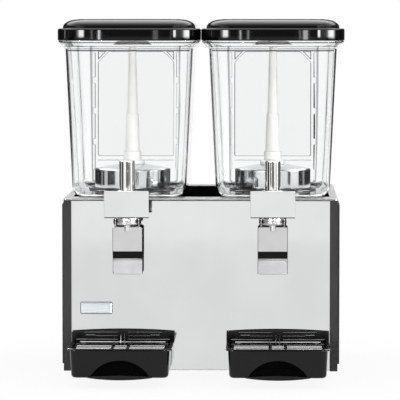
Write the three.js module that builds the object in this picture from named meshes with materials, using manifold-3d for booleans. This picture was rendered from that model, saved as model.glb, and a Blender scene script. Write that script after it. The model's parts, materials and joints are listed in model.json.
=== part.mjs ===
// Cold beverage dispenser with two clear tanks on one refrigerated cabinet.
// Millimetres, +Z up. The origin is the middle of the footprint, on the surface the feet stand on.
// Pieces are drawn from the top front edge of the cabinet: x from the middle, y backwards from the
// front panel's face and z from the top of the cabinet.

import * as THREE from 'three';
import { mergeVertices } from 'three/addons/utils/BufferGeometryUtils.js';
import Module from 'manifold-3d';

const wasm = await Module();
wasm.setup();

// Driving dimensions of the cabinet
const cabinetWidth = 424;
const cabinetDepth = 400;
const cabinetHeight = 268;
const footHeight = 12;
const frontStripWidth = 12;
const sheet = 1.5;

// Driving dimensions of the tanks and the cooling domes below them
const lidsBeyondCabinet = 10.5;
const lidGap = 1;
const lidOverhang = 12;
const tankSpacing = (cabinetWidth + 2 * lidsBeyondCabinet + lidGap) / 2;
const tankWidth = tankSpacing - lidGap - 2 * lidOverhang;
const tankDepth = 290;
const tankHeight = 229.6;
const tankLean = 11;
const tankWall = 2.5;
const tankCorner = 36;
const domeSideRoom = 39;
const domeRadius = tankWidth / 2 - domeSideRoom;
const domeHeight = 46;
const domeBack = 150;

// Driving dimensions of the taps
const tapReach = 42;
const tapRadius = 16;
const sleeveRadius = 11.85;
const leverWidth = 44.6;
const leverSwing = THREE.MathUtils.degToRad(15);

// Driving dimensions of the drip trays
const trayOutset = 8;
const traySpacing = tankSpacing + 2 * trayOutset;
const trayWidth = 151;
const trayReach = 126;
const trayRimDrop = 220;
const trayHeight = 44.8;

// Fits, shared by every seat and every cut
const fit = 0.3;
const sink = 0.8;
const overrun = 2;

// Facet counts: round a full turn of a lathe, and in each eighth of a drawn circle
const roundSteps = 16;
const tapSteps = 12;
const smallSteps = 12;
const cornerSteps = 2;
const holeSteps = 6;
const fanSteps = 8;
const boreSteps = 4;
const archSteps = 6;
const camSteps = 3;

// Solids and placement

function outward(geometry) {
  const position = geometry.attributes.position;
  const index = geometry.index.array;
  const a = new THREE.Vector3();
  const b = new THREE.Vector3();
  const c = new THREE.Vector3();
  let volume = 0;
  for (let i = 0; i < index.length; i += 3) {
    a.fromBufferAttribute(position, index[i]);
    b.fromBufferAttribute(position, index[i + 1]);
    c.fromBufferAttribute(position, index[i + 2]);
    volume += a.dot(b.cross(c));
  }
  if (volume < 0) {
    for (let i = 0; i < index.length; i += 3) {
      [index[i], index[i + 1]] = [index[i + 1], index[i]];
    }
  }
  return geometry;
}

function solid(geometry) {
  const bare = geometry.clone();
  bare.deleteAttribute('normal');
  bare.deleteAttribute('uv');
  const merged = mergeVertices(bare);
  const kept = [];
  const source = merged.index.array;
  for (let i = 0; i < source.length; i += 3) {
    const [p, q, r] = [source[i], source[i + 1], source[i + 2]];
    if (p !== q && q !== r && r !== p) kept.push(p, q, r);
  }
  merged.setIndex(new THREE.BufferAttribute(new Uint32Array(kept), 1));
  outward(merged);
  return new wasm.Manifold(new wasm.Mesh({
    numProp: 3,
    vertProperties: new Float32Array(merged.attributes.position.array),
    triVerts: new Uint32Array(merged.index.array),
  }));
}

function join(first, ...others) {
  return others.reduce((whole, piece) => whole.add(piece), first);
}

function cut(first, ...others) {
  return others.reduce((whole, piece) => whole.subtract(piece), first);
}

function toGeometry(body) {
  const mesh = body.getMesh();
  const geometry = new THREE.BufferGeometry();
  geometry.setAttribute('position', new THREE.BufferAttribute(new Float32Array(mesh.vertProperties), 3));
  geometry.setIndex(new THREE.BufferAttribute(new Uint32Array(mesh.triVerts), 1));
  geometry.computeVertexNormals();
  return geometry;
}

function mirrored(body) {
  const geometry = toGeometry(body);
  geometry.scale(-1, 1, 1);
  return solid(geometry);
}

function moved(body, x, y, z) {
  const geometry = toGeometry(body);
  geometry.translate(x, y, z);
  return solid(geometry);
}

// Shapes, each a closed solid

function block(low, high) {
  const size = high.map((value, i) => value - low[i]);
  const geometry = new THREE.BoxGeometry(...size);
  geometry.translate(...low.map((value, i) => value + size[i] / 2));
  return solid(geometry);
}

function outline(points) {
  return new THREE.Shape(points.map(([u, v]) => new THREE.Vector2(u, v)));
}

function roundedOutline(width, height, radius, u = 0, v = 0) {
  const [w, h] = [width / 2 - radius, height / 2 - radius];
  const shape = new THREE.Shape();
  shape.absarc(u + w, v + h, radius, 0, Math.PI / 2);
  shape.absarc(u - w, v + h, radius, Math.PI / 2, Math.PI);
  shape.absarc(u - w, v - h, radius, Math.PI, 1.5 * Math.PI);
  shape.absarc(u + w, v - h, radius, 1.5 * Math.PI, 2 * Math.PI);
  return shape;
}

function circleOutline(radius, u = 0, v = 0) {
  const shape = new THREE.Shape();
  shape.absarc(u, v, radius, 0, 2 * Math.PI);
  return shape;
}

function extruded(shape, depth, steps) {
  return new THREE.ExtrudeGeometry(shape, { depth, bevelEnabled: false, curveSegments: steps });
}

function alongZ(shape, z0, z1, steps = cornerSteps) {
  const geometry = extruded(shape, z1 - z0, steps);
  geometry.translate(0, 0, z0);
  return solid(geometry);
}

// The outline's two axes are x and z
function alongY(shape, y0, y1, steps = cornerSteps) {
  const geometry = extruded(shape, y1 - y0, steps);
  geometry.rotateX(Math.PI / 2);
  geometry.translate(0, y1, 0);
  return solid(geometry);
}

// The outline's two axes are y and z
function alongX(shape, x0, x1, steps = cornerSteps) {
  const geometry = extruded(shape, x1 - x0, steps);
  geometry.applyMatrix4(new THREE.Matrix4().makeBasis(
    new THREE.Vector3(0, 1, 0), new THREE.Vector3(0, 0, 1), new THREE.Vector3(1, 0, 0)));
  geometry.translate(x0, 0, 0);
  return solid(geometry);
}

// A profile of [radius, height] pairs turned about the vertical through x, y
function turned(profile, x = 0, y = 0, steps = roundSteps) {
  const geometry = new THREE.LatheGeometry(profile.map(([r, h]) => new THREE.Vector2(r, h)), steps);
  geometry.rotateX(Math.PI / 2);
  geometry.translate(x, y, 0);
  return solid(geometry);
}

function turnedAlongY(profile, x, z, steps = roundSteps) {
  const geometry = new THREE.LatheGeometry(profile.map(([r, h]) => new THREE.Vector2(r, h)), steps);
  geometry.translate(x, 0, z);
  return solid(geometry);
}

// A ring of [width, depth, corner radius, height], centred on x = 0 and the given y
function ring([width, depth, corner, z], y) {
  const points = roundedOutline(width, depth, corner, 0, y).getPoints(cornerSteps);
  if (points[0].distanceTo(points[points.length - 1]) < fit) points.pop();
  return points.map((p) => new THREE.Vector3(p.x, p.y, z));
}

// A stack of rings, skinned and closed with a flat cap at each end
function lofted(levels, y) {
  const rings = levels.map((level) => ring(level, y));
  const count = rings[0].length;
  const positions = rings.flat().flatMap((p) => [p.x, p.y, p.z]);
  const index = [];
  for (let k = 0; k < rings.length - 1; k += 1) {
    for (let i = 0; i < count; i += 1) {
      const [a, b] = [k * count + i, k * count + (i + 1) % count];
      index.push(a, b, a + count, b, b + count, a + count);
    }
  }
  const last = (rings.length - 1) * count;
  for (let i = 1; i < count - 1; i += 1) {
    index.push(0, i + 1, i, last, last + i, last + i + 1);
  }
  const geometry = new THREE.BufferGeometry();
  geometry.setAttribute('position', new THREE.Float32BufferAttribute(positions, 3));
  geometry.setIndex(index);
  return solid(geometry);
}

// Angles from 0 to a right angle, for fillets
function quarter(steps) {
  return Array.from({ length: steps + 1 }, (_, i) => (i / steps) * (Math.PI / 2));
}

// Materials

function material(color, roughness, metalness, extra = {}) {
  return new THREE.MeshStandardMaterial({ color, roughness, metalness, ...extra });
}

const stainless = material('#dcdcda', 0.22, 1);
const polishedSteel = material('#e6e6e4', 0.08, 1);
const darkPaint = material('#323233', 0.55, 0.2);
const glossBlack = material('#161617', 0.15, 0);
const satinBlack = material('#2b2b2c', 0.4, 0);
const rubber = material('#1c1c1c', 0.9, 0);
const clearPlastic = material('#eef1f2', 0.05, 0, { transparent: true, opacity: 0.3 });
const whitePlastic = material('#f1f1ef', 0.35, 0);
const greyPlastic = material('#c9cbcc', 0.35, 0);
const galvanised = material('#a9adb0', 0.45, 0.9);
const blackEnamel = material('#1b1c1e', 0.35, 0.3);
const copper = material('#b87348', 0.3, 1);
const badgeFinish = material('#dce2e6', 0.25, 0.6);

// Feet

const footRadius = 15;
const footTopRadius = 13;
const footInset = 45;
const footRound = 1.5;

function foot() {
  const bottom = -cabinetHeight - footHeight;
  const top = -cabinetHeight - fit;
  return turned([
    [0, bottom], [footRadius - footRound, bottom], [footRadius, bottom + footRound],
    [footTopRadius, top], [0, top],
  ], 0, 0, smallSteps);
}

// Base pan: a shallow folded tray that carries the compressor, the condenser and the fan

const panFlange = 30;
const panFrontGap = 12;
const panBackGap = 3;
const halfInside = cabinetWidth / 2 - sheet - fit;
const panFloor = -cabinetHeight + sheet;

function basePan() {
  const [front, back] = [panFrontGap, cabinetDepth - panBackGap];
  const outer = block([-halfInside, front, -cabinetHeight], [halfInside, back, -cabinetHeight + panFlange]);
  const inner = block(
    [-halfInside + sheet, front + sheet, panFloor],
    [halfInside - sheet, back - sheet, -cabinetHeight + panFlange + overrun]);
  return cut(outer, inner);
}

// Top frame: a bordered sheet with a turned-down edge round it and one large opening

const topLip = 3;
const frameSideBorder = 12;
const frameFrontBorder = 41;
const frameBackBorder = 44;
const frameCorner = 4;
const openingWidth = cabinetWidth - 2 * frameSideBorder;
const openingDepth = cabinetDepth - frameFrontBorder - frameBackBorder;
const openingMiddle = frameFrontBorder + openingDepth / 2;
const openingCorner = 10;

function topFrame() {
  const plate = alongZ(
    roundedOutline(cabinetWidth, cabinetDepth, frameCorner, 0, cabinetDepth / 2), -topLip, 0);
  const under = block(
    [-cabinetWidth / 2 + sheet, sheet, -topLip - overrun],
    [cabinetWidth / 2 - sheet, cabinetDepth - sheet, -sheet]);
  const opening = alongZ(
    roundedOutline(openingWidth, openingDepth, openingCorner, 0, openingMiddle), -topLip, overrun);
  return cut(plate, under, opening);
}

// Deck: a moulded black tub in the frame's opening, with a raised seat round each dome

const deckSink = 8;
const deckWall = 2;
const deckFlange = 6;
const seatBeyondDome = 14;
const seatRadius = domeRadius + seatBeyondDome;
const seatTop = -fit;
const seatWall = 2.5;
const domeClear = 0.6;
const deckTop = -sheet - fit;

function deck() {
  const floor = -deckSink - deckWall;
  const tub = alongZ(roundedOutline(
    openingWidth - 2 * fit, openingDepth - 2 * fit, openingCorner, 0, openingMiddle), floor, deckTop);
  const hollow = alongZ(roundedOutline(
    openingWidth - 2 * fit - 2 * deckWall, openingDepth - 2 * fit - 2 * deckWall,
    openingCorner - deckWall, 0, openingMiddle), -deckSink, overrun);
  const rim = alongZ(roundedOutline(
    openingWidth + 2 * deckFlange, openingDepth + 2 * deckFlange, openingCorner, 0, openingMiddle),
    deckTop - deckWall, deckTop);
  const rimHole = alongZ(roundedOutline(
    openingWidth - 4 * fit, openingDepth - 4 * fit, openingCorner, 0, openingMiddle),
    deckTop - deckWall - overrun, deckTop + overrun);
  let body = join(cut(rim, rimHole), cut(tub, hollow));
  for (const side of [-1, 1]) {
    const x = side * tankSpacing / 2;
    body = join(body, turned([
      [0, floor], [seatRadius, floor], [seatRadius, seatTop], [0, seatTop],
    ], x, domeBack));
    body = cut(body, turned([
      [0, floor - overrun], [seatRadius - seatWall, floor - overrun],
      [seatRadius - seatWall, seatTop - seatWall], [domeRadius + domeClear, seatTop - seatWall],
      [domeRadius + domeClear, overrun], [0, overrun],
    ], x, domeBack));
  }
  return body;
}

// Front panel: one sheet between the black strips, folded back along both sides

const panelWidth = cabinetWidth - 2 * frontStripWidth - 2 * fit;
const panelTop = -topLip - fit - sink;
const panelFootGap = 2.4;
const panelBottom = -cabinetHeight + panelFootGap;
const panelFold = 10;

function frontPanel() {
  const [half, back] = [panelWidth / 2, sheet + panelFold];
  return alongZ(outline([
    [-half, 0], [half, 0], [half, back], [half - sheet, back], [half - sheet, sheet],
    [-half + sheet, sheet], [-half + sheet, back], [-half, back],
  ]), panelBottom, panelTop);
}

// Side panels: a sheet with a folded strip at the front and back, and a pressed field of louvres

const fieldProud = 3;
const fieldInset = 14;
const fieldTop = -9.5;
const fieldLift = 10;
const fieldBottom = -cabinetHeight + fieldLift;
const louvreColumns = 2;
const louvreRows = 7;
const louvreLength = 130;
const louvreHeight = 4;
const louvrePitch = 22;
const louvreTop = -70;
const louvreTilt = THREE.MathUtils.degToRad(35);

function sidePanel() {
  const outer = cabinetWidth / 2;
  const [bottom, top] = [-cabinetHeight, -topLip - fit];
  const inner = outer - frontStripWidth;
  const shell = alongZ(outline([
    [inner, 0], [outer, 0], [outer, cabinetDepth], [inner, cabinetDepth],
    [inner, cabinetDepth - sheet], [outer - sheet, cabinetDepth - sheet],
    [outer - sheet, sheet], [inner, sheet],
  ]), bottom, top);
  const low = [outer - sheet, fieldInset, fieldBottom];
  const high = [outer + fieldProud, cabinetDepth - fieldInset, fieldTop];
  const field = block(low, high);
  const press = block(
    [low[0] - overrun, low[1] + sheet, low[2] + sheet],
    [high[0] - sheet, high[1] - sheet, high[2] - sheet]);
  const columnPitch = (cabinetDepth - 2 * fieldInset) / louvreColumns;
  const slots = [];
  for (let column = 0; column < louvreColumns; column += 1) {
    for (let row = 0; row < louvreRows; row += 1) {
      const geometry = new THREE.BoxGeometry(4 * fieldProud, louvreLength, louvreHeight);
      geometry.rotateY(louvreTilt);
      geometry.translate(
        outer + fieldProud - sheet / 2,
        fieldInset + columnPitch * (column + 1 / 2),
        louvreTop - row * louvrePitch);
      slots.push(solid(geometry));
    }
  }
  return cut(join(shell, field), press, ...slots);
}

// Back panel: a sheet with a slotted round grille for the fan, and openings for the controls

const condenserWidth = 180;
const compressorSpread = 150;
const coolingSlack = 2 * halfInside - condenserWidth - compressorSpread;
const coolingGapShares = [0.4, 0.35, 0.25];
const compressorX = -halfInside + coolingGapShares[0] * coolingSlack + compressorSpread / 2;
const fanX = halfInside - coolingGapShares[2] * coolingSlack - condenserWidth / 2;
const fanRise = 103;
const fanZ = -cabinetHeight + fanRise;
const fanRadius = 75;
const grilleSlotWidth = 7;
const grilleSlotPitch = 14;
const ventMargin = 104.7;
const ventX = -panelWidth / 2 + ventMargin;
const ventRise = 53;
const ventZ = -cabinetHeight + ventRise;
const ventWidth = 130;
const ventRows = 4;
const ventHeight = 5;
const ventPitch = 12;
const controlZ = -70;
const controlMargin = 49.7;
const knobX = -panelWidth / 2 + controlMargin;
const rockerLead = 50;
const rockerPitch = 30;
const rockerX = [0, 1, 2].map((i) => knobX + rockerLead + i * rockerPitch);
const glandX = knobX;
const glandZ = -130;
const rockerWidth = 13;
const rockerRadius = 10.5;
const knobShaftRadius = 3;
const glandBodyRadius = 8;
const backPanelTop = -topLip - fit;

function backPanel() {
  const [front, back] = [cabinetDepth - sheet, cabinetDepth];
  const half = panelWidth / 2;
  const plate = block([-half, front, panelBottom], [half, back, backPanelTop]);
  const cuts = [];
  const slotCount = 2 * Math.floor((fanRadius - grilleSlotWidth) / grilleSlotPitch) + 1;
  for (let i = 0; i < slotCount; i += 1) {
    const offset = (i - (slotCount - 1) / 2) * grilleSlotPitch;
    const chord = 2 * Math.sqrt(fanRadius ** 2 - offset ** 2);
    cuts.push(block(
      [fanX - chord / 2, front - overrun, fanZ + offset - grilleSlotWidth / 2],
      [fanX + chord / 2, back + overrun, fanZ + offset + grilleSlotWidth / 2]));
  }
  for (let row = 0; row < ventRows; row += 1) {
    cuts.push(block(
      [ventX - ventWidth / 2, front - overrun, ventZ + row * ventPitch],
      [ventX + ventWidth / 2, back + overrun, ventZ + row * ventPitch + ventHeight]));
  }
  for (const x of rockerX) {
    cuts.push(block(
      [x - rockerWidth / 2 - fit, front - overrun, controlZ - rockerRadius - fit],
      [x + rockerWidth / 2 + fit, back + overrun, controlZ + rockerRadius + fit]));
  }
  for (const [x, z, radius] of [
    [knobX, controlZ, knobShaftRadius + fit], [glandX, glandZ, glandBodyRadius + fit],
  ]) {
    cuts.push(alongY(circleOutline(radius, x, z), front - overrun, back + overrun, holeSteps));
  }
  return cut(plate, ...cuts);
}

// Controls on the back: a thermostat knob, three rocker switches and the cord's gland

const controlReach = 10;
const knobRadius = 14;
const knobFlutes = 6;
const fluteRadius = 2.2;
const knobShaftLength = 14;
const knobPointer = 1.6;

function thermostatKnob() {
  const face = cabinetDepth + controlReach - fit;
  const seat = cabinetDepth + fit;
  let body = turnedAlongY([
    [0, seat - knobShaftLength], [knobShaftRadius, seat - knobShaftLength], [knobShaftRadius, seat],
    [knobRadius, seat], [knobRadius - knobPointer, face], [0, face],
  ], knobX, controlZ, smallSteps);
  for (let i = 0; i < knobFlutes; i += 1) {
    const angle = 2 * Math.PI * (i + 1 / 2) / knobFlutes;
    const [x, z] = [knobX + knobRadius * Math.cos(angle), controlZ + knobRadius * Math.sin(angle)];
    body = cut(body, alongY(
      circleOutline(fluteRadius, x, z), seat + knobPointer, face + overrun, cornerSteps));
  }
  return body;
}

const rockerPivotBack = cabinetDepth - 4;
const rockerThrow = THREE.MathUtils.degToRad(16);
const rockerHalfAngle = THREE.MathUtils.degToRad(50);
const rockerDish = 5.2;
const rockerRoot = 5;

function rocker() {
  const [y, z] = [rockerRadius * Math.cos(rockerHalfAngle), rockerRadius * Math.sin(rockerHalfAngle)];
  const points = [[-rockerRoot, -rockerRoot], [y, -z], [rockerDish, 0], [y, z], [-rockerRoot, rockerRoot]];
  const [c, s] = [Math.cos(-rockerThrow / 2), Math.sin(-rockerThrow / 2)];
  const tilted = points.map(([u, v]) => [
    rockerPivotBack + u * c - v * s,
    controlZ + u * s + v * c,
  ]);
  return alongX(outline(tilted), -rockerWidth / 2, rockerWidth / 2);
}

const glandBore = 3.6;
const glandNutRadius = 12;
const glandInside = 12;
const glandNose = 4;

function cordGland() {
  const seat = cabinetDepth + fit;
  const tip = cabinetDepth + controlReach;
  return turnedAlongY([
    [glandBore, seat - glandInside], [glandBodyRadius, seat - glandInside], [glandBodyRadius, seat],
    [glandNutRadius, seat], [glandNutRadius, tip - glandNose], [glandBodyRadius, tip],
    [glandBore, tip], [glandBore, seat - glandInside],
  ], glandX, glandZ, smallSteps);
}

// Badge: a bare plate with a raised border, on the front panel's lower left

const badgeWidth = 50;
const badgeHeight = 19;
const badgeThickness = 1.5;
const badgeBorder = 2;
const badgeCorner = 2.5;
const badgeMargin = 13.7;
const badgeX = -(panelWidth / 2 - badgeWidth / 2 - badgeMargin);
const badgeZ = -170;
const badgeRecess = 0.5;

function badgePlate() {
  const plate = alongY(roundedOutline(badgeWidth, badgeHeight, badgeCorner), -badgeThickness - fit, -fit);
  const recess = alongY(roundedOutline(
    badgeWidth - 2 * badgeBorder, badgeHeight - 2 * badgeBorder, badgeCorner - badgeBorder / 2),
    -badgeThickness - fit - overrun, -badgeThickness - fit + badgeRecess);
  return cut(plate, recess);
}

// Cooling dome: a drawn steel cup, open below, with a flange under the deck and a pin on its crown

const domeSkin = 1.5;
const crownFall = 6;
const domeShoulder = domeHeight - crownFall;
const domeShoulderRound = 2.5;
const flangeBeyondDome = 10;
const domeFlangeRadius = domeRadius + flangeBeyondDome;
const crownFlat = 22;
const pinRadius = 1.5;
const pinHeight = 3.2;

function evaporatorDome() {
  const flangeTop = seatTop - seatWall - fit;
  const flangeBottom = flangeTop - domeSkin;
  return turned([
    [domeFlangeRadius, flangeBottom], [domeFlangeRadius, flangeTop], [domeRadius, flangeTop],
    [domeRadius, domeShoulder - domeShoulderRound], [domeRadius - domeShoulderRound, domeShoulder],
    [crownFlat, domeHeight], [pinRadius, domeHeight], [pinRadius, domeHeight + pinHeight],
    [0, domeHeight + pinHeight], [0, domeHeight - domeSkin], [crownFlat, domeHeight - domeSkin],
    [domeRadius - domeShoulderRound - domeSkin / 2, domeShoulder - domeSkin],
    [domeRadius - domeSkin, domeShoulder - domeShoulderRound - domeSkin / 2],
    [domeRadius - domeSkin, flangeBottom], [domeFlangeRadius, flangeBottom],
  ], 0, domeBack);
}

// Seal: a ring round the foot of the dome, tapered at its top, which the tank's hole closes on

const sealWidth = 5.6;
const sealHeight = 8;
const sealTaper = 2;

function domeSeal() {
  const inner = domeRadius + fit;
  const outer = inner + sealWidth;
  return turned([
    [inner, 0], [outer, 0], [outer, 2 * sealHeight / 3], [outer - sealTaper, sealHeight],
    [inner, sealHeight], [inner, 0],
  ], 0, domeBack);
}

// Tank: a tapered clear box with a filleted floor, a flared rim, a collar round its dome hole,
// a spout low in its front wall, and a panel and two rows of bars raised on its back wall

const tankFloor = 0.4;
const floorThickness = 3;
const floorFillet = 15;
const rimFlare = 11;
const rimRise = 11;
const rimEdge = 1.9;
const rimLedge = tankFloor + tankHeight + rimRise + rimEdge;
const lipHeight = 14;
const lipInset = 1.6;
const lipWall = 2.4;
const holeRadius = domeRadius + fit + sealWidth + fit;
const collarWall = 2.8;
const collarHeight = 9;
const spoutZ = 9;
const spoutRadius = 7.5;
const spoutBore = 5.5;
const spoutTip = -14;
const rearPanelMargin = 4;
const rearPanelWidth = 2 * (tankWidth / 2 - tankCorner - rearPanelMargin);
const rearPanelBottom = 52;
const rearPanelDrop = 6.6;
const rearPanelTop = tankHeight - rearPanelDrop;
const rearPanelChamfer = 13;
const rearRaise = 1.2;
const barOutset = 3.5;
const barOffset = tankWidth / 2 - tankCorner + barOutset;
const barWidth = 6.5;
const barCount = 4;
const barBottom = 30;
const barGap = 8;
const barDrop = 7.6;
const barPitch = (tankHeight - barDrop - barBottom + barGap) / barCount;
const barLength = barPitch - barGap;

const tankMiddle = tankDepth / 2;
const fillSteps = 2;

// One outside level of the tank, for a height above its floor and a distance drawn in
function tankLevel(height, inset) {
  const lean = tankLean * (1 - height / tankHeight);
  const shrink = 2 * (lean + inset);
  return [tankWidth - shrink, tankDepth - shrink, tankCorner - lean - inset, tankFloor + height];
}

function tankOutside() {
  const fillet = quarter(fillSteps).map((angle) => tankLevel(
    floorFillet * (1 - Math.sin(angle)), floorFillet * (1 - Math.cos(angle)))).reverse();
  const wide = (inset) => [
    tankWidth + 2 * (rimFlare - inset), tankDepth + 2 * (rimFlare - inset), tankCorner + rimFlare - inset];
  return lofted([
    ...fillet, tankLevel(tankHeight, 0),
    [...wide(0), tankFloor + tankHeight + rimRise], [...wide(0), rimLedge],
    [...wide(lipInset), rimLedge], [...wide(lipInset), rimLedge + lipHeight],
  ], tankMiddle);
}

function tankInside() {
  const radius = floorFillet - tankWall;
  const fillet = quarter(fillSteps).map((angle) => tankLevel(
    floorThickness + radius * (1 - Math.sin(angle)), tankWall + radius * (1 - Math.cos(angle)))).reverse();
  const wide = (inset) => [
    tankWidth + 2 * (rimFlare - inset), tankDepth + 2 * (rimFlare - inset), tankCorner + rimFlare - inset];
  return lofted([
    ...fillet, tankLevel(tankHeight, tankWall),
    [...wide(lipInset + lipWall), rimLedge], [...wide(lipInset + lipWall), rimLedge + lipHeight + overrun],
  ], tankMiddle);
}

// Raised forms on the back wall, drawn upright and then leaned with the wall
function rearForms() {
  const half = rearPanelWidth / 2;
  const panel = outline([
    [-half, rearPanelBottom], [half, rearPanelBottom], [half, rearPanelTop - rearPanelChamfer],
    [half - rearPanelChamfer, rearPanelTop], [-half + rearPanelChamfer, rearPanelTop],
    [-half, rearPanelTop - rearPanelChamfer],
  ]);
  const shapes = [panel];
  for (const side of [-1, 1]) {
    for (let i = 0; i < barCount; i += 1) {
      const [left, low] = [side * barOffset - barWidth / 2, barBottom + i * barPitch];
      shapes.push(outline([
        [left, low], [left + barWidth, low], [left + barWidth, low + barLength], [left, low + barLength],
      ]));
    }
  }
  const leanAngle = Math.atan(tankLean / tankHeight);
  const wallFoot = tankDepth - tankLean - tankWall;
  return shapes.map((shape) => {
    const geometry = toGeometry(alongY(shape, -rearRaise, tankWall / 2, 1));
    geometry.rotateX(-leanAngle);
    geometry.translate(0, wallFoot, tankFloor);
    return solid(geometry);
  });
}

function tank() {
  const shell = cut(tankOutside(), tankInside());
  const collar = turned([
    [0, tankFloor], [holeRadius + collarWall, tankFloor],
    [holeRadius + collarWall, collarHeight], [0, collarHeight],
  ], 0, domeBack);
  const hole = turned([
    [0, -overrun], [holeRadius, -overrun],
    [holeRadius, collarHeight + overrun], [0, collarHeight + overrun],
  ], 0, domeBack);
  const spoutRoot = tankLean + floorFillet / 2;
  const spout = alongY(circleOutline(spoutRadius, 0, spoutZ), spoutTip, spoutRoot, boreSteps);
  const bore = alongY(
    circleOutline(spoutBore, 0, spoutZ), spoutTip - overrun, spoutRoot + floorFillet, boreSteps);
  return cut(join(shell, collar, spout, ...rearForms()), hole, bore);
}

// Lid: a skirt over the rim, a raised crown with round shoulders, and a spray dish below its middle

const skirtBottom = rimLedge + fit;
const skirtHeight = 18.6;
const skirtTop = skirtBottom + skirtHeight;
const lidWall = 2;
const crownInset = 8;
const crownRise = 15.7;
const crownTop = skirtTop + crownRise;
const shoulderRadius = 14;
const edgeBreak = 1;
const dishRadius = 31;
const dishHang = 36.5;
const dishFall = 5;
const dishCentre = crownTop - dishHang;
const dishEdge = dishCentre - dishFall;
const dishWall = 1.6;
const stemRadius = 8;

function lidLevels(inset, top, bottom, shoulder, broken) {
  const level = (drawn, z) => [
    tankWidth + 2 * (lidOverhang - drawn), tankDepth + 2 * (lidOverhang - drawn),
    tankCorner + lidOverhang - drawn, z];
  const rim = top - crownRise;
  const edge = broken > 0
    ? [level(inset, rim - broken), level(inset + broken, rim)]
    : [level(inset, rim)];
  const shoulderLevels = quarter(fillSteps).map((angle) => level(
    inset + crownInset + shoulder * (1 - Math.cos(angle)), top - shoulder * (1 - Math.sin(angle))));
  return [level(inset, bottom), ...edge, level(inset + crownInset - edgeBreak / 2, rim), ...shoulderLevels];
}

function lid() {
  const outside = lofted(lidLevels(0, crownTop, skirtBottom, shoulderRadius, edgeBreak), tankMiddle);
  const inside = lofted(lidLevels(
    lidWall, crownTop - lidWall, skirtBottom - overrun, shoulderRadius - lidWall, 0), tankMiddle);
  const dish = turned([
    [0, dishCentre - dishWall], [dishRadius / 2, dishCentre - dishWall - edgeBreak],
    [dishRadius, dishEdge], [dishRadius / 2, dishCentre], [stemRadius, dishCentre + dishWall],
    [stemRadius, crownTop - lidWall / 2], [0, crownTop - lidWall / 2],
  ], 0, domeBack, smallSteps);
  return join(cut(outside, inside), dish);
}

// Spray tube: a white riser on a pump cover that stands on the dome's crown

const coverRadius = 20;
const coverHeight = 6.5;
const coverWall = 2.2;
const riserCollarRadius = 14;
const riserCollarHeight = 14;
const riserFootRadius = 11.5;
const riserStepRadius = 9.85;
const riserLowerLength = 59.2;
const riserUpperRadius = 8.3;
const riserTopRadius = 5.7;
const riserDishGap = 8;
const riserTopZ = dishCentre - riserDishGap;
const riserBore = 3.6;

function sprayTube() {
  const seat = domeHeight + fit;
  const coverTop = seat + coverHeight;
  const chamberTop = coverTop - coverWall;
  const riserFoot = coverTop + riserCollarHeight;
  const riserStepZ = riserFoot + riserLowerLength;
  return turned([
    [coverRadius - coverWall, seat], [coverRadius, seat], [coverRadius, coverTop - coverWall],
    [coverRadius - coverWall, coverTop], [riserCollarRadius, coverTop],
    [riserCollarRadius, riserFoot], [riserFootRadius, riserFoot],
    [riserStepRadius, riserStepZ], [riserUpperRadius, riserStepZ], [riserTopRadius, riserTopZ],
    [riserBore, riserTopZ], [riserBore, chamberTop], [coverRadius - coverWall, chamberTop],
    [coverRadius - coverWall, seat],
  ], 0, domeBack, smallSteps);
}

// Impeller: a bladed disc that turns on the dome's pin inside the pump cover

const impellerRadius = 15;
const impellerDisc = 1.2;
const impellerTall = 3.6;
const impellerHub = 5;
const bladeCount = 6;
const bladeThickness = 1.4;

function impeller() {
  const low = domeHeight + fit;
  let body = turned([
    [0, low], [impellerRadius, low], [impellerRadius, low + impellerDisc],
    [impellerHub, low + impellerDisc], [impellerHub, low + impellerTall], [0, low + impellerTall],
  ], 0, 0, fanSteps);
  for (let i = 0; i < bladeCount; i += 1) {
    const geometry = toGeometry(block(
      [impellerHub - bladeThickness, -bladeThickness / 2, low + impellerDisc / 2],
      [impellerRadius - bladeThickness / 2, bladeThickness / 2, low + impellerTall]));
    geometry.rotateZ(2 * Math.PI * i / bladeCount);
    body = join(body, solid(geometry));
  }
  body = cut(body, turned([
    [0, low - overrun], [pinRadius + fit, low - overrun],
    [pinRadius + fit, domeHeight + pinHeight + fit], [0, domeHeight + pinHeight + fit],
  ], 0, 0, fanSteps));
  return moved(body, 0, domeBack, 0);
}

// Drive motor and its magnet: the motor hangs under the dome, the magnet turns inside it

const motorRadius = 30;
const motorBottom = -72;
const motorShaftRadius = 4;
const motorShaftDepth = 20;
const motorPlate = 2;
const magnetRadius = 22;
const magnetHeight = 9;
const magnetClear = 3.5;
const magnetStand = 12;
const magnetTop = domeHeight - domeSkin - magnetClear;
const magnetBottom = magnetTop - magnetHeight;
const motorTop = magnetBottom - magnetStand;
const motorRound = 4;

function driveMotor() {
  const plateTop = seatTop - seatWall - 2 * fit - domeSkin;
  const bore = motorShaftRadius + fit;
  return turned([
    [0, motorBottom], [motorRadius - motorRound, motorBottom], [motorRadius, motorBottom + motorRound],
    [motorRadius, plateTop - motorPlate], [domeFlangeRadius, plateTop - motorPlate],
    [domeFlangeRadius, plateTop], [motorRadius, plateTop], [motorRadius - motorRound, motorTop],
    [bore, motorTop], [bore, motorTop - motorShaftDepth],
    [0, motorTop - motorShaftDepth],
  ], 0, domeBack, smallSteps);
}

function driveMagnet() {
  const foot = motorTop - motorShaftDepth + fit;
  return turned([
    [0, foot], [motorShaftRadius, foot], [motorShaftRadius, magnetBottom], [magnetRadius, magnetBottom],
    [magnetRadius, magnetTop], [0, magnetTop],
  ], 0, domeBack, smallSteps);
}

// Tap housing: a vertical chamber with a duct down its back, an inlet that plugs into the tank's
// spout, and a hole each side for the lever's shafts

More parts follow.
